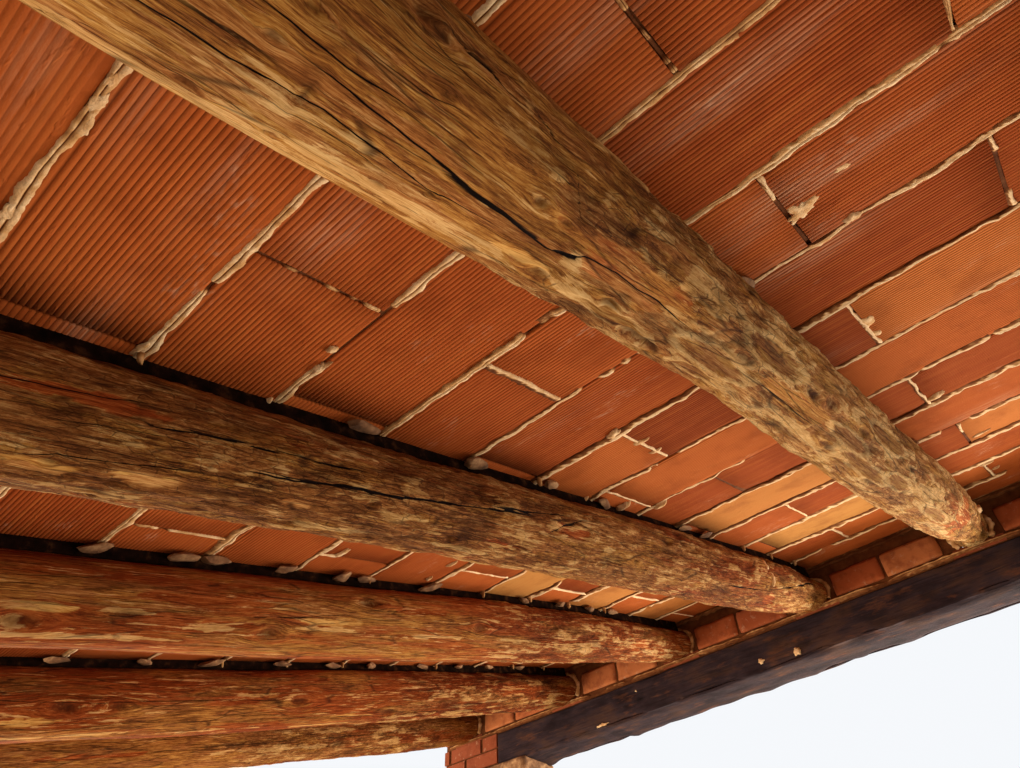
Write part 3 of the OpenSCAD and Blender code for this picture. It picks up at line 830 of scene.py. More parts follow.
def carve_pole(name, v, angle, seed):
    """Centre, radius, grain and marks of a pole's skin at each point."""
    marks, form = POLE_MARKS[name], forms[name]
    u, w, radius = pole_at(form, v, angle)
    mean = np.interp(v, form["v"], form["table"][:, 2].real)
    arc = angle * mean
    skin = np.stack([mean * np.cos(angle), v, mean * np.sin(angle)], axis=1)
    ragged = noise(skin, (0.02, 0.045, 0.02), seed + 1, 3)
    bark = noise(skin, (0.10, 0.40, 0.10), seed + 2, 2)
    start, end = marks["rough"]
    rough = ramp(v, start - 0.2, start + 0.2) * (1 - ramp(v, end, end + 0.15))
    rough = np.clip(rough * (0.9 + 0.5 * bark) + ramp(bark, 0.1, 0.5) * 0.4 + 0.12, 0, 1)
    bare = patches(name, "bare", v, arc, mean, ragged)
    golden = patches(name, "golden", v, arc, mean, ragged)
    hollow = patches(name, "hollows", v, arc, mean, 0.5 * ragged)
    rough *= (1 - 0.85 * np.maximum(bare, golden)) * (1 - 0.7 * hollow)

    bend = np.stack([noise(skin, (0.03, 0.07, 0.03), seed + 50 + k, 2) for k in range(3)],
                    axis=1) * (0.012, 0.03, 0.012)
    plate, rim = cells_of(skin + bend, (0.032, 0.105, 0.032), seed)
    chip, chip_rim = cells_of(skin + 0.6 * bend, (0.013, 0.036, 0.013), seed + 1)
    swell = 3.0 * MM * noise(skin, (0.08, 0.30, 0.08), seed + 3)
    fine = 2.2 * noise(skin, (0.020, 0.50, 0.020), seed + 4, 2) * (1 - 0.6 * rough)
    fine += 0.8 * noise(skin, (0.008, 0.12, 0.008), seed + 5, 2)
    scars = noise(skin, (0.030, 0.110, 0.030), seed + 6, 4)
    lumps = noise(skin + bend, (0.014, 0.030, 0.014), seed + 13, 3)
    fine += rough * (7.0 * scars + 3.4 * lumps + 3.0 * (plate - 0.5) - 1.2 * (1 - ramp(rim, 0.0, 0.16)))
    fine += rough * (1.2 * (chip - 0.5) - 0.7 * (1 - ramp(chip_rim, 0.0, 0.2)))
    island, shore = cells_of(skin + bend, (0.038, 0.20, 0.038), seed + 2)
    island = marks["islands"] * rough * (island < 0.6) * ramp(shore, 0.22, 0.34)
    fine += 2.0 * island
    # Painted shade and painted highlight: low spots of the relief are painted darker, raised ones paler.
    cavity = rough * (0.4 * (0.5 - plate) - 1.5 * scars - 0.9 * lumps + 0.25 * (1 - ramp(rim, 0.02, 0.14)))
    dark = np.maximum(np.clip(cavity, 0, 1), 0.4 * island)
    pale = 0.3 * marks["islands"] * rough - (0.7 + 1.3 * marks["islands"]) * cavity
    pale = np.clip(pale, 0, 1) * (1 - island)
    rough *= 1 - 0.6 * island
    dark = np.maximum(dark, 0.5 * patches(name, "dark", v, arc, mean, ragged) * (0.8 + 0.5 * ragged))
    pale = np.maximum(pale, patches(name, "pale", v, arc, mean, ragged) * (0.8 + 0.4 * scars))
    fine -= 2.5 * np.maximum(bare, golden)
    # The inside of each hollow is painted darker, partly as painted shade.
    dark = np.maximum(dark * (1 - 0.7 * np.maximum(bare, golden)), 0.75 * hollow)
    pale *= 1 - hollow
    sideways = np.zeros_like(v)

    for px, py, length, width, depth in marks["hollows"]:
        dv, ds = oval(v, arc, mean, pole_spot(name, px, py), length, width)
        away = np.hypot(dv, ds) + 0.2 * ragged
        fine += depth * (0.5 * np.exp(-((away - 1.35) / 0.3) ** 2) - np.exp(-away ** 4))
        # The raised rim of a hollow is painted pale, partly as a painted highlight.
        pale = np.maximum(pale, 1.2 * np.exp(-((away - 1.3) / 0.25) ** 2))
    for px, py, length, width, depth in marks["knots"]:
        dv, ds = oval(v, arc, mean, pole_spot(name, px, py), length, width)
        away = np.hypot(dv, ds) + 0.35 * ragged
        fine += depth * (0.6 * np.exp(-((away - 1.5) / 0.5) ** 2) - 1.2 * np.exp(-(away / 0.8) ** 2))
        dark = np.maximum(dark, 1.2 * np.exp(-(away / 1.0) ** 4))
        dark = np.maximum(dark, 0.35 * np.exp(-((away - 1.6) / 0.3) ** 2))
        sideways -= ds * min(width, 0.5 * length) * MM / 2 * np.exp(-(away / 2.2) ** 2)

    crack, gape = np.ones_like(v), np.zeros_like(v)
    along = np.stack([v, 0 * v, 0 * v], axis=1)
    for k, (width, depth, pixels) in enumerate(marks["cracks"]):
        course_v, course_angle = np.array(sorted(pole_spot(name, px, py) for px, py in pixels)).T
        wander = (0.0020 * noise(along, (0.09, 1, 1), seed + 20 + k, 2)
                  + 0.001 * noise(along, (0.02, 1, 1), seed + 60 + k))
        offset = arc - np.interp(v, course_v, course_angle) * mean + wander
        within = ramp(v, course_v[0] - 0.10, course_v[0] + 0.05)
        within *= 1 - ramp(v, course_v[-1] - 0.05, course_v[-1] + 0.10)
        within *= 0.8 + 0.35 * noise(along, (0.10, 1, 1), seed + 40 + k, 2)
        wide = max(width * MM, 0.003)
        fine -= 0.5 * depth * within * np.exp(-(offset / wide) ** 2)
        fine += 0.3 * depth * within * np.exp(-((offset - 2.2 * wide) / (1.5 * wide)) ** 2)
        crack *= np.tanh(offset / CRACK_SOFTNESS)
        gape = np.maximum(gape, within * (width * MM / 2 / CRACK_SOFTNESS) * np.exp(-(offset / 0.0055) ** 2))
        # A soft dark band over a crack's groove is painted shade.
        dark = np.maximum(dark, 0.25 * within * np.exp(-(offset / (1.5 * wide)) ** 2))

    red = marks["red"] + 0.22 * ramp(v, -2.2, -0.6)
    red *= 1.9 * bare + (1 - golden) * (0.8 + 1.1 * noise(skin, (0.05, 0.35, 0.05), seed + 10, 3))
    bent = (arc + sideways) / mean
    grain = np.stack([mean * np.cos(bent), v, mean * np.sin(bent)], axis=1) + 3.1 * seed
    tone = (np.interp(v, (-3.0, -1.2), marks["tone"]) + 0.16 * noise(skin, (0.06, 0.7, 0.06), seed + 11, 2)
            + 0.35 * golden)
    keeps = {"grain": grain, "marks": np.stack([dark, np.clip(pale, 0, 1.2), np.clip(red, 0, 1)], axis=1),
             "split": np.stack([crack, gape, rough], axis=1), "tone": tone}
    return u, w, radius + swell + MM * fine, keeps


def make_pole(name, seed, columns, fine_step, fine_from):
    """A grid rolled into a tube along the pole, with sawn ends, seated on its tiles."""
    low, high = forms[name]["ends"]
    fine = np.arange(fine_from, high - 0.01, fine_step)
    coarse = np.linspace(low + 0.006, fine_from, max(int((fine_from - low) / (3 * fine_step)), 2),
                         endpoint=False)
    rows_v = np.concatenate([[low, low, low, low + 0.002], coarse, fine,
                             [high - 0.006, high - 0.002, high, high, high]])
    rows_share = np.ones(len(rows_v))
    rows_share[:4], rows_share[-4:] = (0, 0.5, 0.965, 0.99), (0.99, 0.965, 0.5, 0)
    back = np.linspace(30, 150, int(columns * 0.12) + 1)[:-1]
    front = np.linspace(-210, 30, columns - len(back) + 1)[:-1]
    column_angle = np.radians(np.concatenate([front, back, [150]]))

    pole, column, row = new_grid(columns, len(rows_v) - 1)
    angle, v, share = column_angle[column], rows_v[row], rows_share[row]
    u, w, radius, keeps = carve_pole(name, v, angle, seed)
    grain, marks, split = keeps["grain"], keeps["marks"], keeps["split"]
    at_end = share < 1
    end_face = np.stack([radius * share * np.cos(angle), 0 * v, radius * share * np.sin(angle)], axis=1)
    v = v + at_end * 0.003 * noise(end_face, (0.02, 1, 0.006), seed)
    place = on_roof(u + share * radius * np.cos(angle), v, w + share * radius * np.sin(angle))
    place[:, 1] = np.clip(place[:, 1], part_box(name)[0].y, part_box(name)[1].y)
    floor_z = seat_floor(place[:, 1])
    hewn = place[:, 2] < floor_z
    place[:, 2] = np.maximum(place[:, 2], floor_z)
    grain[:, 0] = np.where(at_end, grain[:, 0] * share, grain[:, 0])
    grain[:, 2] = np.where(at_end, grain[:, 2] * share, grain[:, 2])
    marks[at_end] = (0.1, 0.35, 0.1)
    marks[hewn] = (0.0, 0.5, 0.1)
    split[at_end | hewn] = (1, 0, 0)
    move_points(pole, place)
    for layer, values in keeps.items():
        paint(pole, layer, values)

    close_up(pole, merge=0.00002)
    pole.name = pole.data.name = name.replace("log_rafter", "peeled_pole")
    return pole


# %% [markdown]
# The poles are softwood, peeled by hand and smoked brown with age. Where the
# peel came off clean the wood is golden, and where inner bark stayed it is
# grey-brown and flaky, with a sharp edge between the two. The pattern follows
# the bent grain that the points carry, so that it flows round the knots, and
# it is bent once more by a slow noise, because real fibres wander.

# %% Peeled softwood
def peeled_pole():
    """Old peeled pine: fibrous and matt, golden where the peel left bare wood, grey-brown and flaky where
    bark stayed.
    """
    material, tree, shader = new_material("peeled_pine", roughness=0.88, specular=0.04)
    grain, marks, split = (add(tree, "Attribute", out="Vector", attribute_name=name)
                           for name in ("grain", "marks", "split"))
    tone = add(tree, "Attribute", out="Fac", attribute_name="tone")
    dark, pale, red = add(tree, "SeparateXYZ", {0: marks}).node.outputs
    crack, gape, rough = add(tree, "SeparateXYZ", {0: split}).node.outputs

    slow = pattern(tree, grain, 50, 3, 0.5, (1, 4, 1), out="Color")
    shift = add(tree, "VectorMath", {0: slow, 1: (0.5, 0.5, 0.5)}, operation="SUBTRACT")
    shift = add(tree, "VectorMath", {0: shift, 1: (0.010, 0.03, 0.010)}, operation="MULTIPLY")
    grain = add(tree, "VectorMath", {0: grain, 1: shift}, operation="ADD")
    streaks = pattern(tree, grain, 14, 5, 0.65, (1, 12, 1))
    fibres = pattern(tree, grain, 4, 5, 0.75, (1, 20, 1))
    threads = pattern(tree, grain, 1.3, 3, 0.7, (1, 26, 1))
    clouds = pattern(tree, grain, 60, 6, 0.65, (1, 2.5, 1))
    crumbs = pattern(tree, grain, 6, 6, 0.8, (1, 3.5, 1))
    chip = pattern(tree, grain, 12, stretch=(1, 3.2, 1), kind="TexVoronoi", out="Color", feature="F1")
    chip = add(tree, "SeparateXYZ", {0: chip})
    rim, long_rim = (pattern(tree, grain, size_mm, stretch=(1, longer, 1), kind="TexVoronoi",
                             feature="DISTANCE_TO_EDGE")
                     for size_mm, longer in ((12, 3.2), (26, 14)))

    # Patterns are about 0.5, so each sum takes off half of its weights where it has to stay centred.
    coarse = sum_of(tree, (crumbs,), (0.10, chip), (-0.55,))
    shade = sum_of(tree, (0.6, streaks), (0.25, clouds), (fibres,), (0.8, threads), (0.6, tone), (-1.125,),
                   (coarse, rough))
    wood, bark_wood, red_wood, pale_wood = (
        add(tree, "ValToRGB", {"Fac": shade}, stops=stops) for stops in (
            [(0.12, "#2A150A"), (0.32, "#5C3314"), (0.46, "#8A5324"), (0.58, "#AA7232"), (0.80, "#CC9C58")],
            [(0.12, "#34190C"), (0.36, "#6A3A1A"), (0.55, "#9A5E2E"), (0.85, "#D09C60")],
            [(0.12, "#2E0F05"), (0.45, "#762C0D"), (0.85, "#B45C28")],
            [(0.15, "#8A5426"), (0.42, "#CC9A58"), (0.75, "#E4BC80")]))
    bark = pattern(tree, grain, 36, 8, 0.62, (1, 5, 1))
    bark = sum_of(tree, (bark,), (0.10, rough), (-0.04,), rise=(0.495, 0.515))
    flake = pattern(tree, grain, 8, 8, 0.85, (1, 3.5, 1))
    flake = sum_of(tree, (flake,), (0.20, pale), (-0.05,), rise=(0.56, 0.66))
    flaky = add(tree, "Math", {0: sum_of(tree, (0.6, rough), (0.3,)), 1: pale}, operation="MAXIMUM")
    splinter = pattern(tree, grain, 9, 6, 0.7, (1, 18, 1))
    splinter = sum_of(tree, (splinter,), (0.25, pale), (0.12, red), rise=(0.65, 0.70))
    flake = add(tree, "Math", {0: sum_of(tree, (flake, flaky)), 1: sum_of(tree, (0.8, splinter))},
                operation="MAXIMUM")
    crevice = sum_of(tree, (sum_of(tree, (rim,), rise=(0.06, 0.0)),
                            sum_of(tree, (rough,), (3.0, crumbs), (-1.5,), rise=(0.7, 1.1))))
    hairline = sum_of(tree, (sum_of(tree, (long_rim,), rise=(0.04, 0.0)),
                             sum_of(tree, (clouds,), rise=(0.44, 0.52))))
    away = add(tree, "Math", {0: crack}, operation="ABSOLUTE")
    away = sum_of(tree, (away,), (0.12, fibres), (-0.06,))
    away = add(tree, "Math", {0: away, 1: sum_of(tree, (gape,), (0.01,))}, operation="DIVIDE")
    line = sum_of(tree, (sum_of(tree, (away,), rise=(1.25, 0.8)), sum_of(tree, (gape,), rise=(0.02, 0.1))))

    colour = coat(tree, wood, bark_wood, bark, 0.8)
    colour = coat(tree, colour, red_wood, sum_of(tree, (red,), (1.2, streaks), (-0.6,)), 0.85,
                  rise=(0.3, 0.6))
    # pale and dark carry pale and dark wood, knots and patches, and also the painted highlight and painted
    # shade of the relief.
    colour = coat(tree, colour, pale_wood, flake, 0.85)
    colour = coat(tree, colour, "#34190A", dark, 0.6)
    seams = add(tree, "Math", {0: crevice, 1: hairline}, operation="MAXIMUM")
    colour = coat(tree, colour, "#28120A", seams, 0.65)
    colour = coat(tree, colour, "#120703", line)
    rugged = sum_of(tree, (sum_of(tree, (crumbs,), (0.35, chip), (-0.675,)), sum_of(tree, (rough,), (0.1,))))
    splits = add(tree, "Math", {0: crevice, 1: sum_of(tree, (0.6, hairline))}, operation="MAXIMUM")
    finish_surface(tree, shader, colour, [(fibres, 2.0), (threads, 0.5), (rugged, 10.0), (bark, 1.0),
                                          (splits, -2.0), (line, -4.0)])
    return material


peeled_pine = peeled_pole()
print("material:", peeled_pine.name)

# %% Make the six poles
POLE_MESHES = [("log_rafter_1", 64, 0.022, -3.9), ("log_rafter_2", 148, 0.0072, -3.55),
               ("log_rafter_3", 110, 0.0088, -3.55), ("log_rafter_4", 88, 0.0108, -3.5),
               ("log_rafter_5", 80, 0.0125, -3.2), ("log_rafter_6", 64, 0.016, -3.0)]
for seed, (name, columns, fine_step, fine_from) in enumerate(POLE_MESHES, start=11):
    pole = make_pole(name, seed, columns, fine_step, fine_from)
    finish_piece(pole, peeled_pine, replaces=[name])

# %% [markdown]
# Wet mortar pressed through a joint hangs in a lip: it climbs slowly on one
# side, ends in a steep wavy edge on the other, and here and there it is
# missing. One helper makes such a bead along any path. It is a grid rolled
# into a tube again, whose ragged section changes along the path, and its
# root is buried in what the mortar fills. Detail costs most and shows least
# far away, so another helper makes each step a few pixels long for the
# camera, and long where the camera sees nothing.

# %% A bead of mortar along a path
BEAD_SIDES = np.array([-1.0, -0.7, -0.42, -0.16, 0.0, 0.16, 0.42, 0.7, 1.0, 0.0])
LIP_CREST = 0.3
UNSEEN_STEP = 0.035


def seen_steps(place, low, high, pixels):
    """Distances along a line, pixels apart in the picture and far apart outside it."""
    tries = np.arange(low, high, 0.004)
    at, depth = in_picture(place(tries))
    inside = (depth > 0.2) & (np.abs(at - CENTRE_PX) < 1.1 * CENTRE_PX).all(axis=1)
    step = np.where(inside, np.clip(pixels / FOCAL_PX * depth, 0.004, UNSEEN_STEP), UNSEEN_STEP)
    count = np.cumsum(0.004 / step)
    return np.interp(np.arange(count[0], count[-1]), count, tries)


def mortar_bead(path, across, out, back_reach, front_reach, height, seed, root=0.006, lip=1.0, clean_and_lit=0.5):
    """A closed tube along a path. Reaches, height, lip and clean are given for each point of it.

    lip is 1 for a hanging lip, and 0 for mortar smeared flat and cracked along its middle."""
    count, ring = len(path), len(BEAD_SIDES)
    lip, clean_and_lit, back_reach, front_reach, height = (np.broadcast_to(value, count).astype(float)
                                                   for value in (lip, clean_and_lit, back_reach, front_reach, height))
    bead, column, row = new_grid(ring, count + 1)
    column %= ring
    share = np.where((row == 0) | (row == count + 1), 0.0, 1.0)
    at = np.clip(row - 1, 0, count - 1)
    side, buried = BEAD_SIDES[column], column == ring - 1
    edge = noise(path[at] + side[:, None] * 0.7, 0.016, seed, 3)
    reach = np.where(side < 0, back_reach[at], front_reach[at]) * (1 + 0.75 * edge * np.abs(side))
    place = path[at] + np.broadcast_to(across, path.shape)[at] * (share * side * reach)[:, None]
    lump, sand = noise(place, 0.013, seed + 1, 2), noise(place, 0.0055, seed + 2, 2)
    hanging = np.where(side < LIP_CREST, (side + 1) / (1 + LIP_CREST),
                       1 - ((side - LIP_CREST) / (1 - LIP_CREST)) ** 2)
    smeared = 1 - np.abs(side) ** 5 - 0.9 * (side == 0)
    rise = np.clip(lip[at] * hanging + (1 - lip[at]) * smeared, 0, 1)
    lift = rise * np.maximum(height[at], 0) * (1 + 0.45 * lump) + 0.0009 * sand * (rise > 0.05)
    lift = lift + np.minimum(height[at], 0) - 0.0025 * (np.abs(side) == 1)
    lift = np.where(buried | (share == 0), np.minimum(height[at], 0) - root, lift)
    move_points(bead, place + out * lift[:, None])
    # Painted highlight and painted shade: on a hanging lip the crest is painted paler and the back slope
    # darker.
    crest = side > -0.25 + 0.55 * lump
    shade = (clean_and_lit[at] + 0.35 * lump + lip[at] * np.where(crest, 0.4, -0.45)
             - 0.9 * (1 - lip[at]) * (side == 0))
    # Where the bead sinks into an empty joint it is painted dark, as painted shade in the recess.
    paint(bead, "clean_and_lit", np.clip(shade * ramp(height[at], -0.002, 0.002), 0, 1))
    return bead


along_u, along_v, downwards = ROOF_AXES[0], ROOF_AXES[1], -ROOF_AXES[2]
course_starts = [spans[0][2] for spans in course_planks]
joint_gap = course_starts[1] - course_starts[0] - PLANK_WIDTH
print("joint between courses, mm:", round(joint_gap * 1000, 1))

# %% [markdown]
# Low on the roof the mortar was smeared flat over the joints, with ragged
# edges. Towards the high beam it was laid thick and hangs in broad tongues.
# So the form of a bead, how far it reaches and how often it breaks off depend
# on the course, and smooth noise along the joint does the rest.

# %% Mortar in the joints between courses
BEAD_PX = 3.5
FLAT_COURSE, LIP_COURSE = 4.5, 7.5


def joint_bead(course):
    """The bead in the joint above a course, from one verge to the other."""
    v = course_starts[course] + PLANK_WIDTH + joint_gap / 2
    u = seen_steps(lambda u: on_roof(u, v, 0 * u), deck_left + 0.02, deck_right - 0.02, BEAD_PX)
    line = np.stack([u, 0 * u + 3.7 * course, 0 * u], axis=1)
    lip, thick = ramp(course, FLAT_COURSE, LIP_COURSE), ramp(course, 6, 14)
    slow, quick = noise(line, (0.16, 1, 1), 60, 2), noise(line, (0.045, 1, 1), 61, 2)
    presence = ramp(noise(line, (0.22, 1, 1), 62, 2) + 0.35 * quick, -0.48, -0.36)
    height = ((1 - lip) * (0.0030 + 0.001 * slow)
              + lip * (0.0045 + 0.0025 * thick + 0.003 * slow + 0.002 * quick))
    height = np.maximum(height, 0.001) * presence - 0.004 * (1 - presence)
    back = (1 - lip) * (0.011 + 0.008 * slow + 0.006 * quick) + lip * (0.012 + 0.008 * thick + 0.010 * slow)
    front = (1 - lip) * (0.011 + 0.007 * quick) + lip * (0.009 + 0.004 * quick)
    drift = ((0.003 + 0.005 * lip + 0.006 * thick) * noise(line, (0.09, 1, 1), 63, 3)
             + (0.003 + 0.003 * lip) * quick)
    path = on_roof(u, v + drift, 0 * u - 0.0025 - 0.002 * lip)
    return mortar_bead(path, along_v, downwards, np.maximum(back, 0.004), np.maximum(front, 0.003), height,
                       100 + 3 * course, lip=lip, clean_and_lit=0.74 - 0.2 * lip + 0.2 * slow)


beads = [joint_bead(course) for course in range(len(course_planks) - 1)]
half = len(beads) // 2
for name, group in (("joint_mortar_low", beads[:half]), ("joint_mortar_high", beads[half:])):
    piece = join(group, name)
    close_up(piece)
    finish_piece(piece, mortar_mat)

# %% Mortar in the end joints of the planks
HIDDEN_BY_POLE = 0.085
OPEN_ENDS = [on_deck(px, py) for px, py in ((515, 368), (895, 377))]


def end_bead(course, end, v0, seed):
    """The bead between the ends of two planks; an open end joint has a wide side painted dark, as painted
    shade in the gap.
    """
    v = seen_steps(lambda v: on_roof(0 * v + end, v, 0 * v), v0 + 0.002, v0 + PLANK_WIDTH - 0.002, BEAD_PX)
    line = np.stack([v, 0 * v + 5.1 * course + end, 0 * v], axis=1)
    wobble = noise(line, (0.05, 1, 1), 70, 2)
    lip = ramp(course, FLAT_COURSE, LIP_COURSE)
    crumbs = (1 - lip) * (1.6 * noise(line, (0.02, 1, 1), 74, 2) - 0.25)
    presence = ramp(noise(line, (0.12, 1, 1), 71) + 0.4 * math.sin(9.7 * end + course) + crumbs, -0.45, -0.2)
    opened = any(abs(end - u) < 0.05 and v0 < v_open < v0 + PLANK_WIDTH for u, v_open in OPEN_ENDS)
    lip, presence = max(lip, opened), np.maximum(presence, opened)
    height = (0.0016 + 0.0038 * lip + 0.002 * wobble) * presence - 0.004 * (1 - presence)
    path = on_roof(end + (0.003 + 0.003 * lip) * wobble, v, 0 * v - 0.0015 - 0.002 * lip)
    reach = 0.0030 + 0.0035 * lip + 0.003 * wobble
    # An open end joint gets a wide back side that is painted dark, as painted shade in the gap.
    return mortar_bead(path, along_u, downwards, reach + 0.010 * opened, 0.8 * reach + 0.001, height, seed,
                       lip=lip, clean_and_lit=0.5 + 0.1 * lip - 0.2 * opened)


beads = []
for course, spans in enumerate(course_planks):
    for (_, end, v0), (start, _, _) in zip(spans, spans[1:]):
        axes = [pole_at(forms[name], np.array([v0 + PLANK_WIDTH / 2]), 0.0)[0][0] for name in pole_names]
        if min(abs((end + start) / 2 - axis) for axis in axes) > HIDDEN_BY_POLE:
            beads.append(end_bead(course, (end + start) / 2, v0, 200 + 3 * len(beads)))
piece = join(beads, "end_joint_mortar")
close_up(piece)
finish_piece(piece, mortar_mat)

# %% [markdown]
# Mortar also fell and dried in dabs, at places that the photograph shows.
# A dab is an icosphere pressed flat, with an outline made ragged by noise.
# Stones are made from the same icosphere, but are cut back by a few planes,
# so that they get the flat sides and edges of broken limestone.

# %% Dabs of mortar
BROAD_DAB = 0.04


def new_ball(detail):
    """Adds an icosphere one metre across, and gives its points as well."""
    bpy.ops.object.select_all(action="DESELECT")
    bpy.ops.mesh.primitive_ico_sphere_add(subdivisions=detail, radius=0.5)
    return bpy.context.object, points_of(bpy.context.object)


def pressed_ball(centre, axes, size, seed, uneven=0.25, cuts=0, detail=3):
    """An uneven icosphere along three axes, and cuts is how many flat sides it gets."""
    made, ball = new_ball(detail)
    ball *= (1 + uneven * noise(ball, 0.35, seed, 3))[:, None]
    cutter = np.random.default_rng(seed)
    for _ in range(cuts):
        way = cutter.normal(size=3)
        way /= np.linalg.norm(way)
        over = np.maximum(ball @ way - 0.26 - 0.12 * cutter.random(), 0)
        ball -= over[:, None] * way
    move_points(made, centre + ball @ (np.array(axes) * np.array(size)[:, None]))
    return made


def smeared_dab(centre, axes, size, seed):
    """A flat dab with a ragged outline: noise moves its points outwards more than up."""
    made, ball = new_ball(4 if size[0] >= BROAD_DAB else 3)
    away = np.hypot(ball[:, 0], ball[:, 1])
    rim = np.stack([ball[:, 0], ball[:, 1], 0 * away], axis=1) / np.maximum(away, 1e-6)[:, None]
    ball[:, :2] *= (1 + 0.9 * noise(rim, 0.9, seed, 4) + 0.5 * noise(rim, 0.3, seed + 1, 2))[:, None]
    ball[:, 2] = np.sign(ball[:, 2]) * np.clip(1 - (2 * away) ** 4, 0, 1) * 0.5
    place = centre + ball @ (np.array(axes) * np.array(size)[:, None])
    sand = noise(place, 0.007, seed + 2, 3) * np.clip(1 - 2 * away, 0.1, 1)
    move_points(made, place + np.array(axes[2]) * (0.0018 * sand * (ball[:, 2] > 0))[:, None])
    return made


DABS = [(99, 100, 30, 13, 1), (88, 124, 26, 8, 1), (112, 76, 24, 8, 1), (7, 210, 34, 14, 1),
        (318, 366, 50, 14, 7), (331, 347, 22, 20, 6), (140, 345, 30, 12, 5), (268, 398, 18, 12, 8),
        (613, 432, 40, 22, 7), (659, 502, 60, 24, 14), (622, 503, 60, 16, 16), (934, 394, 46, 26, 10),
        (798, 210, 60, 46, 3), (866, 320, 30, 50, 4), (876, 331, 24, 30, 4), (850, 215, 30, 22, 6),
        (980, 432, 60, 16, 4), (985, 462, 40, 14, 7), (995, 466, 30, 12, 7), (452, 562, 46, 14, 7),
        (428, 577, 36, 12, 7), (840, 166, 34, 14, 2), (640, 440, 40, 16, 5), (655, 449, 36, 14, 5),
        (340, 552, 50, 16, 6), (382, 440, 16, 10, 10), (525, 484, 20, 12, 12), (583, 497, 26, 12, 10),
        (930, 171, 60, 14, 5)]
dice = np.random.default_rng(9)
dabs = []
for px, py, length, width, height in DABS:
    u, v = on_deck(px, py)
    turn = 0.5 * (dice.random() - 0.5)
    along = math.cos(turn) * along_u + math.sin(turn) * along_v
    across = -math.sin(turn) * along_u + math.cos(turn) * along_v
    dab = smeared_dab(on_roof(u, v, -0.0045), (along, across, downwards),
                      np.array([length, width, 2 * height]) * MM, 700 + 5 * len(dabs))
    paint(dab, "clean_and_lit", 0.75 + 0.3 * noise(points_of(dab), 0.01, 5, 2))
    dabs.append(dab)
piece = join(dabs, "mortar_dabs")
smooth_shade(piece)
finish_piece(piece, mortar_mat)

# %% [markdown]
# Over each pole the packing is painted near black, as painted shade, so that
# the space beside it reads as a black gap. Small stones wedge the planks there,
# and where a joint of the deck ends at a pole its mortar drips down to the wood.

# %% Packing, drips and stones over the poles
def shade_painted_packing():
    """Mortar between pole and deck, painted near black as painted shade, so that it reads as a gap."""
    material, tree, shader = new_material("shade_painted_packing", roughness=0.95, specular=0.03)
    clouds = pattern(tree, add(tree, "TexCoord", out="Object"), 30, 5)
    tint = add(tree, "ValToRGB", {"Fac": clouds},
               stops=[(0.35, "#0E0704"), (0.55, "#1E100A"), (0.75, "#4A2E1A")])
    finish_surface(tree, shader, tint, [(clouds, 4.0)])
    return material


packing_mat = shade_painted_packing()
DRIP_SHARE = 0.6
dice = np.random.default_rng(10)
drips = []
for name in pole_names:
    for course in range(1, len(course_planks) - 1):
        v = course_starts[course] + PLANK_WIDTH + joint_gap / 2
        u, w, radius = (value[0] for value in pole_at(forms[name], np.array([v]), math.radians(60)))
        for side in (-1, 1):
            chance, size, shift = dice.random(3)
            if chance < DRIP_SHARE:
                spot = on_roof(u + side * (0.050 + 0.012 * shift), v - 0.004, -0.010)
                size = (0.010 + 0.008 * size, 0.008 + 0.007 * shift, 0.036)
                drips.append(pressed_ball(spot, (along_u, along_v, downwards), size, 900 + len(drips),
                                          uneven=0.5, detail=2))
                paint(drips[-1], "clean_and_lit", 0.35 + 0.5 * noise(points_of(drips[-1]), 0.008, 6, 2)
                      + 0.2 * size[0] / 0.02)
piece = join(drips, "mortar_drips")
smooth_shade(piece)
finish_piece(piece, mortar_mat)


def lime_stone():
    """Rubble limestone, weathered: matt and pitted, dusty with mortar; its pale stone is painted browner and
    darker, partly as painted shade.
    """
    material, tree, shader = new_material("lime_stone", roughness=0.88, specular=0.25)
    place = add(tree, "TexCoord", out="Object")
    clouds, pits = pattern(tree, place, 35, 5), pattern(tree, place, 5, 3)
    # These colours are browner and darker than clean limestone, partly as painted shade for stones wedged in
    # the dark gaps.
    tint = add(tree, "ValToRGB", {"Fac": clouds},
               stops=[(0.3, "#4E3220"), (0.5, "#845C3C"), (0.7, "#B88E62")])
    colour = coat(tree, tint, "#6A4A30", pits, 0.4, rise=(0.52, 0.68))
    finish_surface(tree, shader, colour, [(clouds, 3.0), (pits, 0.9)])
    return material


limestone = lime_stone()
STONE_SPOTS = {"log_rafter_3": [(366, 423), (478, 468), (548, 494), (605, 510), (682, 538), (703, 545)],
               "log_rafter_4": [(98, 557), (185, 568), (215, 571), (285, 578), (345, 580), (368, 586),
                                (430, 594), (525, 605), (560, 608), (590, 614), (613, 618)],
               "log_rafter_5": [(58, 659), (145, 668), (215, 671), (285, 668), (335, 672), (372, 669),
                                (425, 673), (460, 671), (490, 670), (522, 670)]}
UNSEEN_STONE_PITCH = 0.34
dice = np.random.default_rng(11)
stones = []


def add_stone(name, v, side, detail):
    """A flat stone wedged between a pole's shoulder and the deck."""
    u, w, radius = pole_at(forms[name], np.array([v]), math.radians(90 - 30 * side))
    length = 0.06 + 0.05 * dice.random()
    width = 0.038 + 0.016 * dice.random()
    height = 0.017 + 0.009 * dice.random()
    turn, tip = 0.7 * (dice.random() - 0.5), 0.3 * (dice.random() - 0.5)
    along = math.cos(turn) * along_v + math.sin(turn) * along_u + tip * ROOF_AXES[2]
    across = -math.sin(turn) * along_v + math.cos(turn) * along_u
    spot = on_roof(u + side * (0.052 + 0.012 * dice.random()), np.array([v]), np.array([-0.017]))[0]
    stones.append(pressed_ball(spot, (along, across, ROOF_AXES[2]), (length, width, height),
                               400 + len(stones), uneven=0.35, cuts=10, detail=detail))


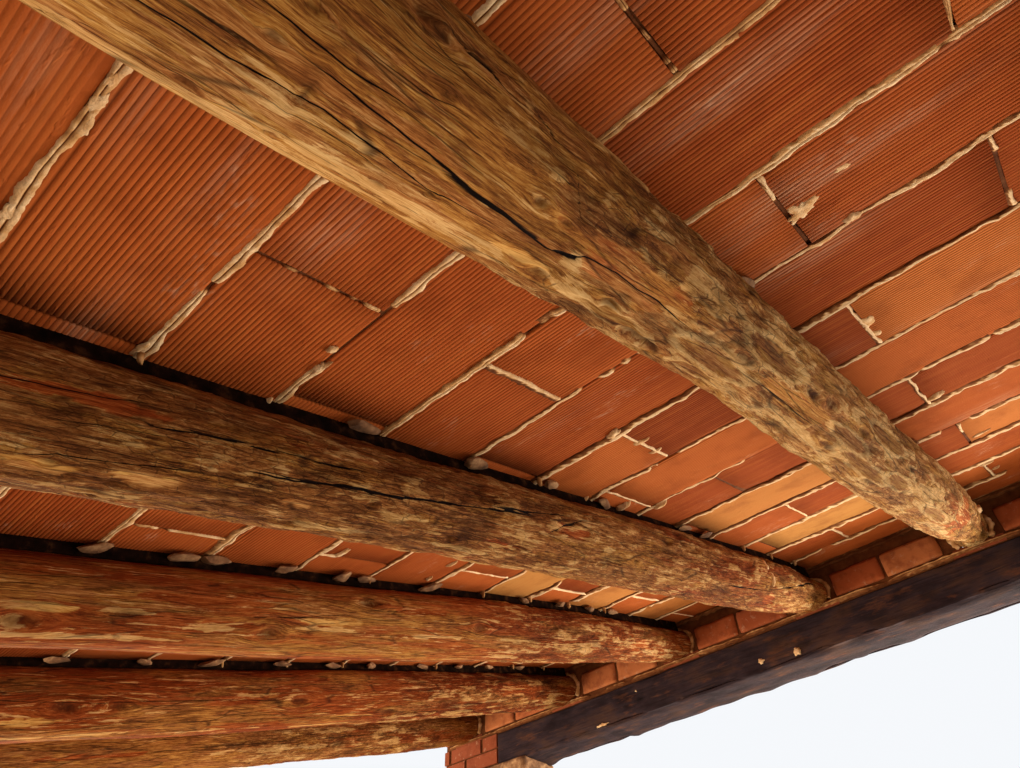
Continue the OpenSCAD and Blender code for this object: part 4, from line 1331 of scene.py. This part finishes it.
for name in pole_names:
    v_line = np.arange(-3.9, -0.05, 0.01)
    u, w, radius = pole_at(forms[name], v_line, math.radians(60))
    edge_pixels, _ = in_picture(on_roof(u + 0.065, v_line, 0 * v_line - 0.016))
    for px, py in STONE_SPOTS.get(name, []):
        add_stone(name, v_line[np.argmin(np.sum((edge_pixels - (px, py)) ** 2, axis=1))], 1, 3)
    for side in ((-1,) if name in STONE_SPOTS else (-1, 1)):
        for v in np.arange(-3.8, -0.2, UNSEEN_STONE_PITCH):
            add_stone(name, v + 0.15 * dice.random(), side, 2)
piece = join(stones, "packing_stones")
select(piece)
bpy.ops.object.shade_smooth_by_angle(angle=math.radians(24))
finish_piece(piece, limestone)
print("stones:", len(stones), " drips:", len(drips), " dabs:", len(dabs))

# %% [markdown]
# Two squared beams carry the poles. They were hewn with an adze, which leaves
# shallow scallops and corners that wander where the trunk was too thin. Each
# is a grid rolled round a rectangle, kept flat and true where the CAD beam
# rests on its stones, so that it still sits where it should.

# %% Hewn beams
BEAM_CORNER = 0.010
BEAM_WANE = 0.026
BEARING = 0.20


def rounded_section(size_y, size_z, corner, per_side, per_corner):
    """Points round a rectangle, the outward side of each, and which are at a corner."""
    points, ways, at_corner = [], [], []
    for k in range(4):
        turn = math.pi / 2 * k
        c, s = round(math.cos(turn)), round(math.sin(turn))
        half_out, half_along = (size_y, size_z) if k % 2 == 0 else (size_z, size_y)
        half_out, half_along = half_out / 2, half_along / 2 - corner
        for t in np.linspace(-1, 1, per_side):
            y, z = half_out, t * half_along
            points.append((y * c - z * s, y * s + z * c))
            ways.append((c, s))
            at_corner.append(0.0)
        for t in np.linspace(0, 1, per_corner + 2)[1:-1]:
            a = turn + t * math.pi / 2
            y, z = half_out - corner, half_along
            points.append((y * c - z * s + corner * math.cos(a), y * s + z * c + corner * math.sin(a)))
            ways.append((math.cos(a), math.sin(a)))
            at_corner.append(math.sin(math.pi * t))
    return np.array(points), np.array(ways), np.array(at_corner)


def hewn_beam(name, node, step, seed):
    """A beam in the place of a CAD beam, scalloped by the adze, with waney corners."""
    low, high = (np.array(corner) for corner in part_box(node))
    size, middle = high - low, (low + high) / 2
    section, ways, at_corner = rounded_section(size[1], size[2], BEAM_CORNER, 12, 2)
    rows_x = np.concatenate([[low[0]] * 3, np.arange(low[0] + 0.004, high[0] - 0.003, step), [high[0]] * 3])
    share = np.ones(len(rows_x))
    share[:3] = share[-1:-4:-1] = (0, 0.6, 0.985)
    ring = len(section)
    beam, column, row = new_grid(ring, len(rows_x) - 1)
    column %= ring
    x = rows_x[row]
    yz = section[column] * share[row][:, None]
    skin = np.stack([x, yz[:, 0], yz[:, 1]], axis=1)
    bearing = 1 - ramp(np.abs(x - middle[0]), size[0] / 2 - BEARING - 0.1, size[0] / 2 - BEARING)
    scallop = noise(skin, (0.11, 0.06, 0.06), seed)
    scallop = np.abs(scallop) - 0.3
    split = np.clip(1 - np.abs(noise(skin, (0.7, 0.03, 0.03), seed + 1)) / 0.07, 0, 1)
    split = split * ramp(noise(skin, (0.3, 0.1, 0.1), seed + 2), 0, 0.3)
    fibre = noise(skin, (0.12, 0.008, 0.008), seed + 3, 2)
    depth = 0.0012 + 0.005 * np.clip(scallop + 0.3, 0, 1) + 0.004 * split + 0.0012 * fibre
    each_corner = np.stack([x, column // 14 * 3.0, 0 * x], axis=1)
    wane = BEAM_WANE * ramp(noise(each_corner, (0.22, 1, 1), seed + 4, 2), -0.5, 0.6)
    near_corner = np.exp(-((np.abs(yz[:, 0]) - size[1] / 2) ** 2 + (np.abs(yz[:, 1]) - size[2] / 2) ** 2)
                         / 0.03 ** 2)
    depth = (depth + wane * near_corner * (yz[:, 1] < 0)) * bearing * share[row]
    yz = yz - ways[column] * depth[:, None]
    move_points(beam, np.stack([x, middle[1] + yz[:, 0], middle[2] + yz[:, 1]], axis=1))
    # The deepest adze scallops are painted darker along with the splits, as painted shade.
    paint(beam, "split", np.clip(split + 0.4 * ramp(scallop, 0.1, 0.4), 0, 1))
    close_up(beam)
    beam.name = beam.data.name = name
    return beam


def smoked_oak():
    """Hewn oak, black with smoke and age: quite dull, with brown where dust and clay rubbed in."""
    material, tree, shader = new_material("smoked_oak", roughness=0.9, specular=0.07)
    place = add(tree, "TexCoord", out="Object")
    split = add(tree, "Attribute", out="Fac", attribute_name="split")
    grain = pattern(tree, place, 7, 5, 0.7, (22, 1, 1))
    clouds = pattern(tree, place, 90, 6, stretch=(2.5, 1, 1))
    dust = pattern(tree, place, 45, 6, 0.7, (4, 1, 1))
    streak = pattern(tree, place, 10, 4, stretch=(16, 1, 1))
    wood = add(tree, "ValToRGB", {"Fac": clouds},
               stops=[(0.3, "#1E1517"), (0.5, "#33272A"), (0.7, "#4C3428")])
    colour = coat(tree, wood, "#140D0D", grain, 0.5, rise=(0.45, 0.7))
    colour = coat(tree, colour, "#6A4028", dust, 0.45, rise=(0.54, 0.66))
    colour = coat(tree, colour, "#6B4A34", streak, 0.3, rise=(0.6, 0.7))
    # This darkens the splits and, as painted shade, the deepest scallops.
    colour = coat(tree, colour, "#0B0605", split, 0.8)
    finish_surface(tree, shader, colour, [(grain, 2.2), (clouds, 3.0)])
    return material


oak = smoked_oak()
finish_piece(hewn_beam("hewn_head_beam", "head_beam", 0.012, 31), oak, replaces=["head_beam"])
finish_piece(hewn_beam("hewn_foot_beam", "foot_beam", 0.03, 37), oak, replaces=["foot_beam"])

# %% [markdown]
# The beam-fill bricks are hand-pressed: their edges are soft and their faces
# dented. A cube is bevelled and subdivided once, and every brick is a copy
# stretched to its CAD place, with dents of its own.

# %% Beam-fill bricks and pad stones
def dented_block(low, high, soft_edge, dent, dent_size, seed, cuts):
    """A block with rounded edges and uneven faces that stays inside its box."""
    bpy.ops.object.select_all(action="DESELECT")
    bpy.ops.mesh.primitive_cube_add(size=1)
    block = bpy.context.object
    bpy.ops.object.mode_set(mode="EDIT")
    bpy.ops.mesh.subdivide(number_cuts=cuts)
    bpy.ops.object.mode_set(mode="OBJECT")
    cube = points_of(block)
    size, middle = high - low, (low + high) / 2
    place = cube * size
    inner = np.clip(place, -size / 2 + soft_edge, size / 2 - soft_edge)
    way = place - inner
    length = np.linalg.norm(way, axis=1, keepdims=True)
    side = np.where(np.abs(cube) > 0.4999, np.sign(cube), 0)
    way = np.where(length > 0, way / np.maximum(length, 1e-9), side)
    rounded = inner + way * np.where(length > 0, soft_edge, 0)
    edge = np.sum(np.abs(cube) > 0.4999 - soft_edge / size.min(), axis=1) > 1
    lump = noise(rounded + middle, dent_size, seed, 2)
    chip = ramp(noise(rounded + middle, 0.03, seed + 1), 0.25, 0.5) * edge
    rounded -= way * (dent * (0.5 + 0.5 * lump) + 2.5 * dent * chip)[:, None]
    move_points(block, middle + rounded)
    paint(block, "tone", np.full(len(cube), dice.random()))
    smooth_shade(block)
    return block


def soft_brick():
    """Hand-pressed brick: matt and sandy, each one fired to its own red."""
    material, tree, shader = new_material("hand_pressed_brick", roughness=0.88, specular=0.2)
    place = add(tree, "TexCoord", out="Object")
    tone = add(tree, "Attribute", out="Fac", attribute_name="tone")
    clay = add(tree, "ValToRGB", {"Fac": tone}, stops=[(0.0, "#8A4426"), (0.5, "#A8562C"), (1.0, "#B87040")])
    clouds, sand = pattern(tree, place, 45, 5), pattern(tree, place, 3, 3)
    lime = pattern(tree, place, 30, 6, 0.75)
    colour = coat(tree, clay, "#6E2E14", clouds, 0.5, rise=(0.45, 0.7))
    colour = coat(tree, colour, "#B89070", lime, 0.5, rise=(0.58, 0.66))
    finish_surface(tree, shader, colour, [(sand, 0.8), (clouds, 3.0)])
    return material


brick_mat = soft_brick()
bricks = [dented_block(points.min(axis=0), points.max(axis=0), 0.005, 0.0012, 0.035, 500 + k, 7)
          for k, points in enumerate(solids_of("fill_bricks"))]
piece = join(bricks, "soft_fill_bricks")
finish_piece(piece, brick_mat, replaces=["fill_bricks"])
pads = [dented_block(points.min(axis=0), points.max(axis=0), 0.012, 0.002, 0.06, 540 + k, 15)
        for k, points in enumerate(solids_of("pad_stones"))]
piece = join(pads, "dressed_pad_stones")
finish_piece(piece, limestone, replaces=["pad_stones"])
for node, material in (("seat_tiles", brick_mat), ("pier_bricks", brick_mat), ("pier_mortar", mortar_mat),
                       ("head_fill_mortar", mortar_mat), ("foot_fill_mortar", mortar_mat),
                       ("mortar_screed", mortar_mat)):
    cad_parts[node].data.materials.clear()
    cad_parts[node].data.materials.append(material)
# The CAD packing over the poles gets the near-black packing finish, which is painted shade.
for name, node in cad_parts.items():
    if name.startswith(("plank_course", "log_packing")):
        node.data.materials.clear()
        node.data.materials.append(clay_plank if name.startswith("plank") else packing_mat)

# %% [markdown]
# The fill was laid in a hurry round the pole ends, so mortar bulges out of
# every joint, between the bricks too. The same beads show it along the deck
# above, along the beam below and in a collar round each pole.

# %% Mortar round the beam-fill
FILL_STEP = 0.013
toward_room = np.array([0.0, -1.0, 0.0])
upright = np.array([0.0, 0.0, 1.0])
x_axis = np.array([1.0, 0.0, 0.0])


def fill_line(z, y, reach, bulge, seed, clean_and_lit, wander=0.004):
    """A bead along the fill's inner face, from end to end of the beam."""
    x = np.arange(deck_left + 0.02, deck_right - 0.02, FILL_STEP)
    line = np.stack([x, 0 * x, 0 * x], axis=1)
    slow, quick = noise(line, (0.12, 1, 1), seed, 2), noise(line, (0.035, 1, 1), seed + 1, 2)
    path = np.stack([x, 0 * x + y, z + wander * slow], axis=1)
    size = 1 + 0.45 * slow + 0.3 * quick
    presence = ramp(slow + 0.5 * quick, -0.45, -0.15)
    return mortar_bead(path, upright, toward_room, reach * size, reach * size,
                       bulge * size * presence - 0.003, seed + 2, root=0.010, lip=0.4,
                       clean_and_lit=clean_and_lit + 0.3 * slow)


def collar(name, seed):
    """Mortar round a pole where it enters the fill."""
    angle = np.radians(np.arange(-62, 243, 5.0))
    form = forms[name]
    u, w, radius = pole_at(form, np.full(len(angle), -0.03), angle)
    height_w = w + radius * np.sin(angle)
    place = on_roof(u + (radius + 0.004) * np.cos(angle), height_w * math.tan(SLOPE),
                    height_w + 0.004 * np.sin(angle))
    place[:, 1] = FACE_Y + 0.004
    keep = place[:, 2] > SEAT_Z["head"] + 0.004
    place, angle = place[keep], angle[keep]
    outward = np.stack([np.cos(angle), 0 * angle, np.sin(angle)], axis=1)
    line = np.stack([angle * 0.1, 0 * angle + seed, 0 * angle], axis=1)
    lump = noise(line, (0.03, 1, 1), seed, 2)
    reach = 0.010 + 0.005 * lump
    # The collar is painted dark brown: brown mortar, and partly painted shade in the gap round the pole end.
    return mortar_bead(place, outward, toward_room, reach, reach * 1.5, 0.008 + 0.006 * lump, seed, root=0.03,
                       clean_and_lit=0.12 + 0.3 * lump)


deck_line_z = FACE_Z - 0.010
beam_top = head_beam_box[1].z
beads = [fill_line(deck_line_z, FACE_Y + 0.004, 0.015, 0.013, 600, 0.12),
         fill_line(beam_top + 0.014, FACE_Y + 0.005, 0.009, 0.012, 610, 0.20)]
beads += [collar(name, 620 + k) for k, name in enumerate(pole_names)]
piece = join(beads, "fill_mortar_beads")
close_up(piece)
finish_piece(piece, mortar_mat)

# %% [markdown]
# Two pale crumbs stick to the dark beam and a drip of mortar runs over the
# end of one pole. They are pressed balls again, at the places that pixels of
# the photograph show.

# %% Crumbs and a drip
BEAM_CRUMBS = [(761, 661, 26, 26, 6), (797, 651, 34, 38, 8), (636, 691, 12, 12, 4), (602, 725, 70, 14, 3)]
POLE_DRIPS = [("log_rafter_3", 765, 565, 18, 40, 8), ("log_rafter_3", 773, 580, 20, 44, 8),
              ("log_rafter_2", 985, 505, 60, 30, 14)]
stuck = []
for px, py, width, height, thick in BEAM_CRUMBS:
    ray = np.array([px - CENTRE_PX[0], py - CENTRE_PX[1], FOCAL_PX]) @ VIEW_AXES
    spot = EYE + ray * (FACE_Y + 0.004 - EYE[1]) / ray[1]
    size = np.array([width, height, 2 * thick]) * MM
    stuck.append(smeared_dab(spot, (x_axis, upright, toward_room), size, 960 + 5 * len(stuck)))
for name, px, py, width, height, thick in POLE_DRIPS:
    v, angle = pole_spot(name, px, py)
    u, w, radius = (value[0] for value in pole_at(forms[name], np.array([v]), angle))
    out = math.cos(angle) * along_u + math.sin(angle) * ROOF_AXES[2]
    round_way = -math.sin(angle) * along_u + math.cos(angle) * ROOF_AXES[2]
    spot = on_roof(u + radius * math.cos(angle), v, w + radius * math.sin(angle))
    size = np.array([width, height, 2 * thick]) * MM
    stuck.append(pressed_ball(spot, (along_v, round_way, out), size, 960 + 5 * len(stuck), uneven=0.6))
for crumb in stuck:
    paint(crumb, "clean_and_lit", 0.75 + 0.3 * noise(points_of(crumb), 0.01, 7, 2))
piece = join(stuck, "crumbs_and_drips")
smooth_shade(piece)
finish_piece(piece, mortar_mat)

# %% [markdown]
# The stage is plain: a pale floor well below the roof, a pale sky, and two
# broad lamps. A roof seen from below gets its light from the ground and the
# open side, so one lamp stands low at the left and one in the opening. The
# sky is bright where the camera sees it and a little warmer where it lights.

# %% Stage
FLOOR_Z = -2.15
SKY_LIGHT = (0.95, 0.9025, 0.8265, 1)
SKY_SEEN = (0.92, 0.94, 0.97, 1)
bpy.ops.object.select_all(action="DESELECT")
bpy.ops.mesh.primitive_plane_add(size=60, location=(0, 0, FLOOR_Z))
floor = bpy.context.object
floor.name = "floor"
floor_mat, _, shader = new_material("pale_floor", 0.9)
shader.inputs["Base Color"].default_value = hex_colour("#D8D4CC")
floor.data.materials.append(floor_mat)

world = bpy.data.worlds.new("sky")
bpy.context.scene.world = world
world.use_nodes = True
tree = world.node_tree
rays = add(tree, "LightPath").node.outputs
seen = rays["Is Camera Ray"]
for kind in ("Is Glossy Ray", "Is Transmission Ray"):
    seen = add(tree, "Math", {0: seen, 1: rays[kind]}, operation="MAXIMUM")
tree.links.new(coat(tree, SKY_LIGHT, SKY_SEEN, seen), tree.nodes["Background"].inputs["Color"])
print("floor, metres below the high beam:", -FLOOR_Z)

# %% Lamps
def area_lamp(name, place, aim, size, watts, colour):
    """A soft rectangular lamp at a place, turned to what it lights."""
    data = bpy.data.lights.new(name, "AREA")
    data.shape = "RECTANGLE"
    data.size, data.size_y = size
    data.energy = watts
    data.color = hex_colour(colour)[:3]
    lamp = bpy.data.objects.new(name, data)
    bpy.context.scene.collection.objects.link(lamp)
    turn = (Vector(place) - Vector(aim)).to_track_quat("Z", "Y").to_matrix().to_4x4()
    lamp.matrix_world = Matrix.Translation(place) @ turn
    print("lamp:", name, watts, "W")


area_lamp("left_below", (-3.2, -2.6, -1.6), (0.2, -1.6, 0.0), (3.0, 2.2), 230, "#FFF0DC")
area_lamp("opening", (0.8, 1.9, -0.9), (-0.3, -0.9, 0.1), (3.6, 1.2), 230, "#FFF4E6")

# %% [markdown]
# Last, the colours are shown as they are written.

# %% Finish
bpy.context.scene.view_settings.view_transform = "Standard"
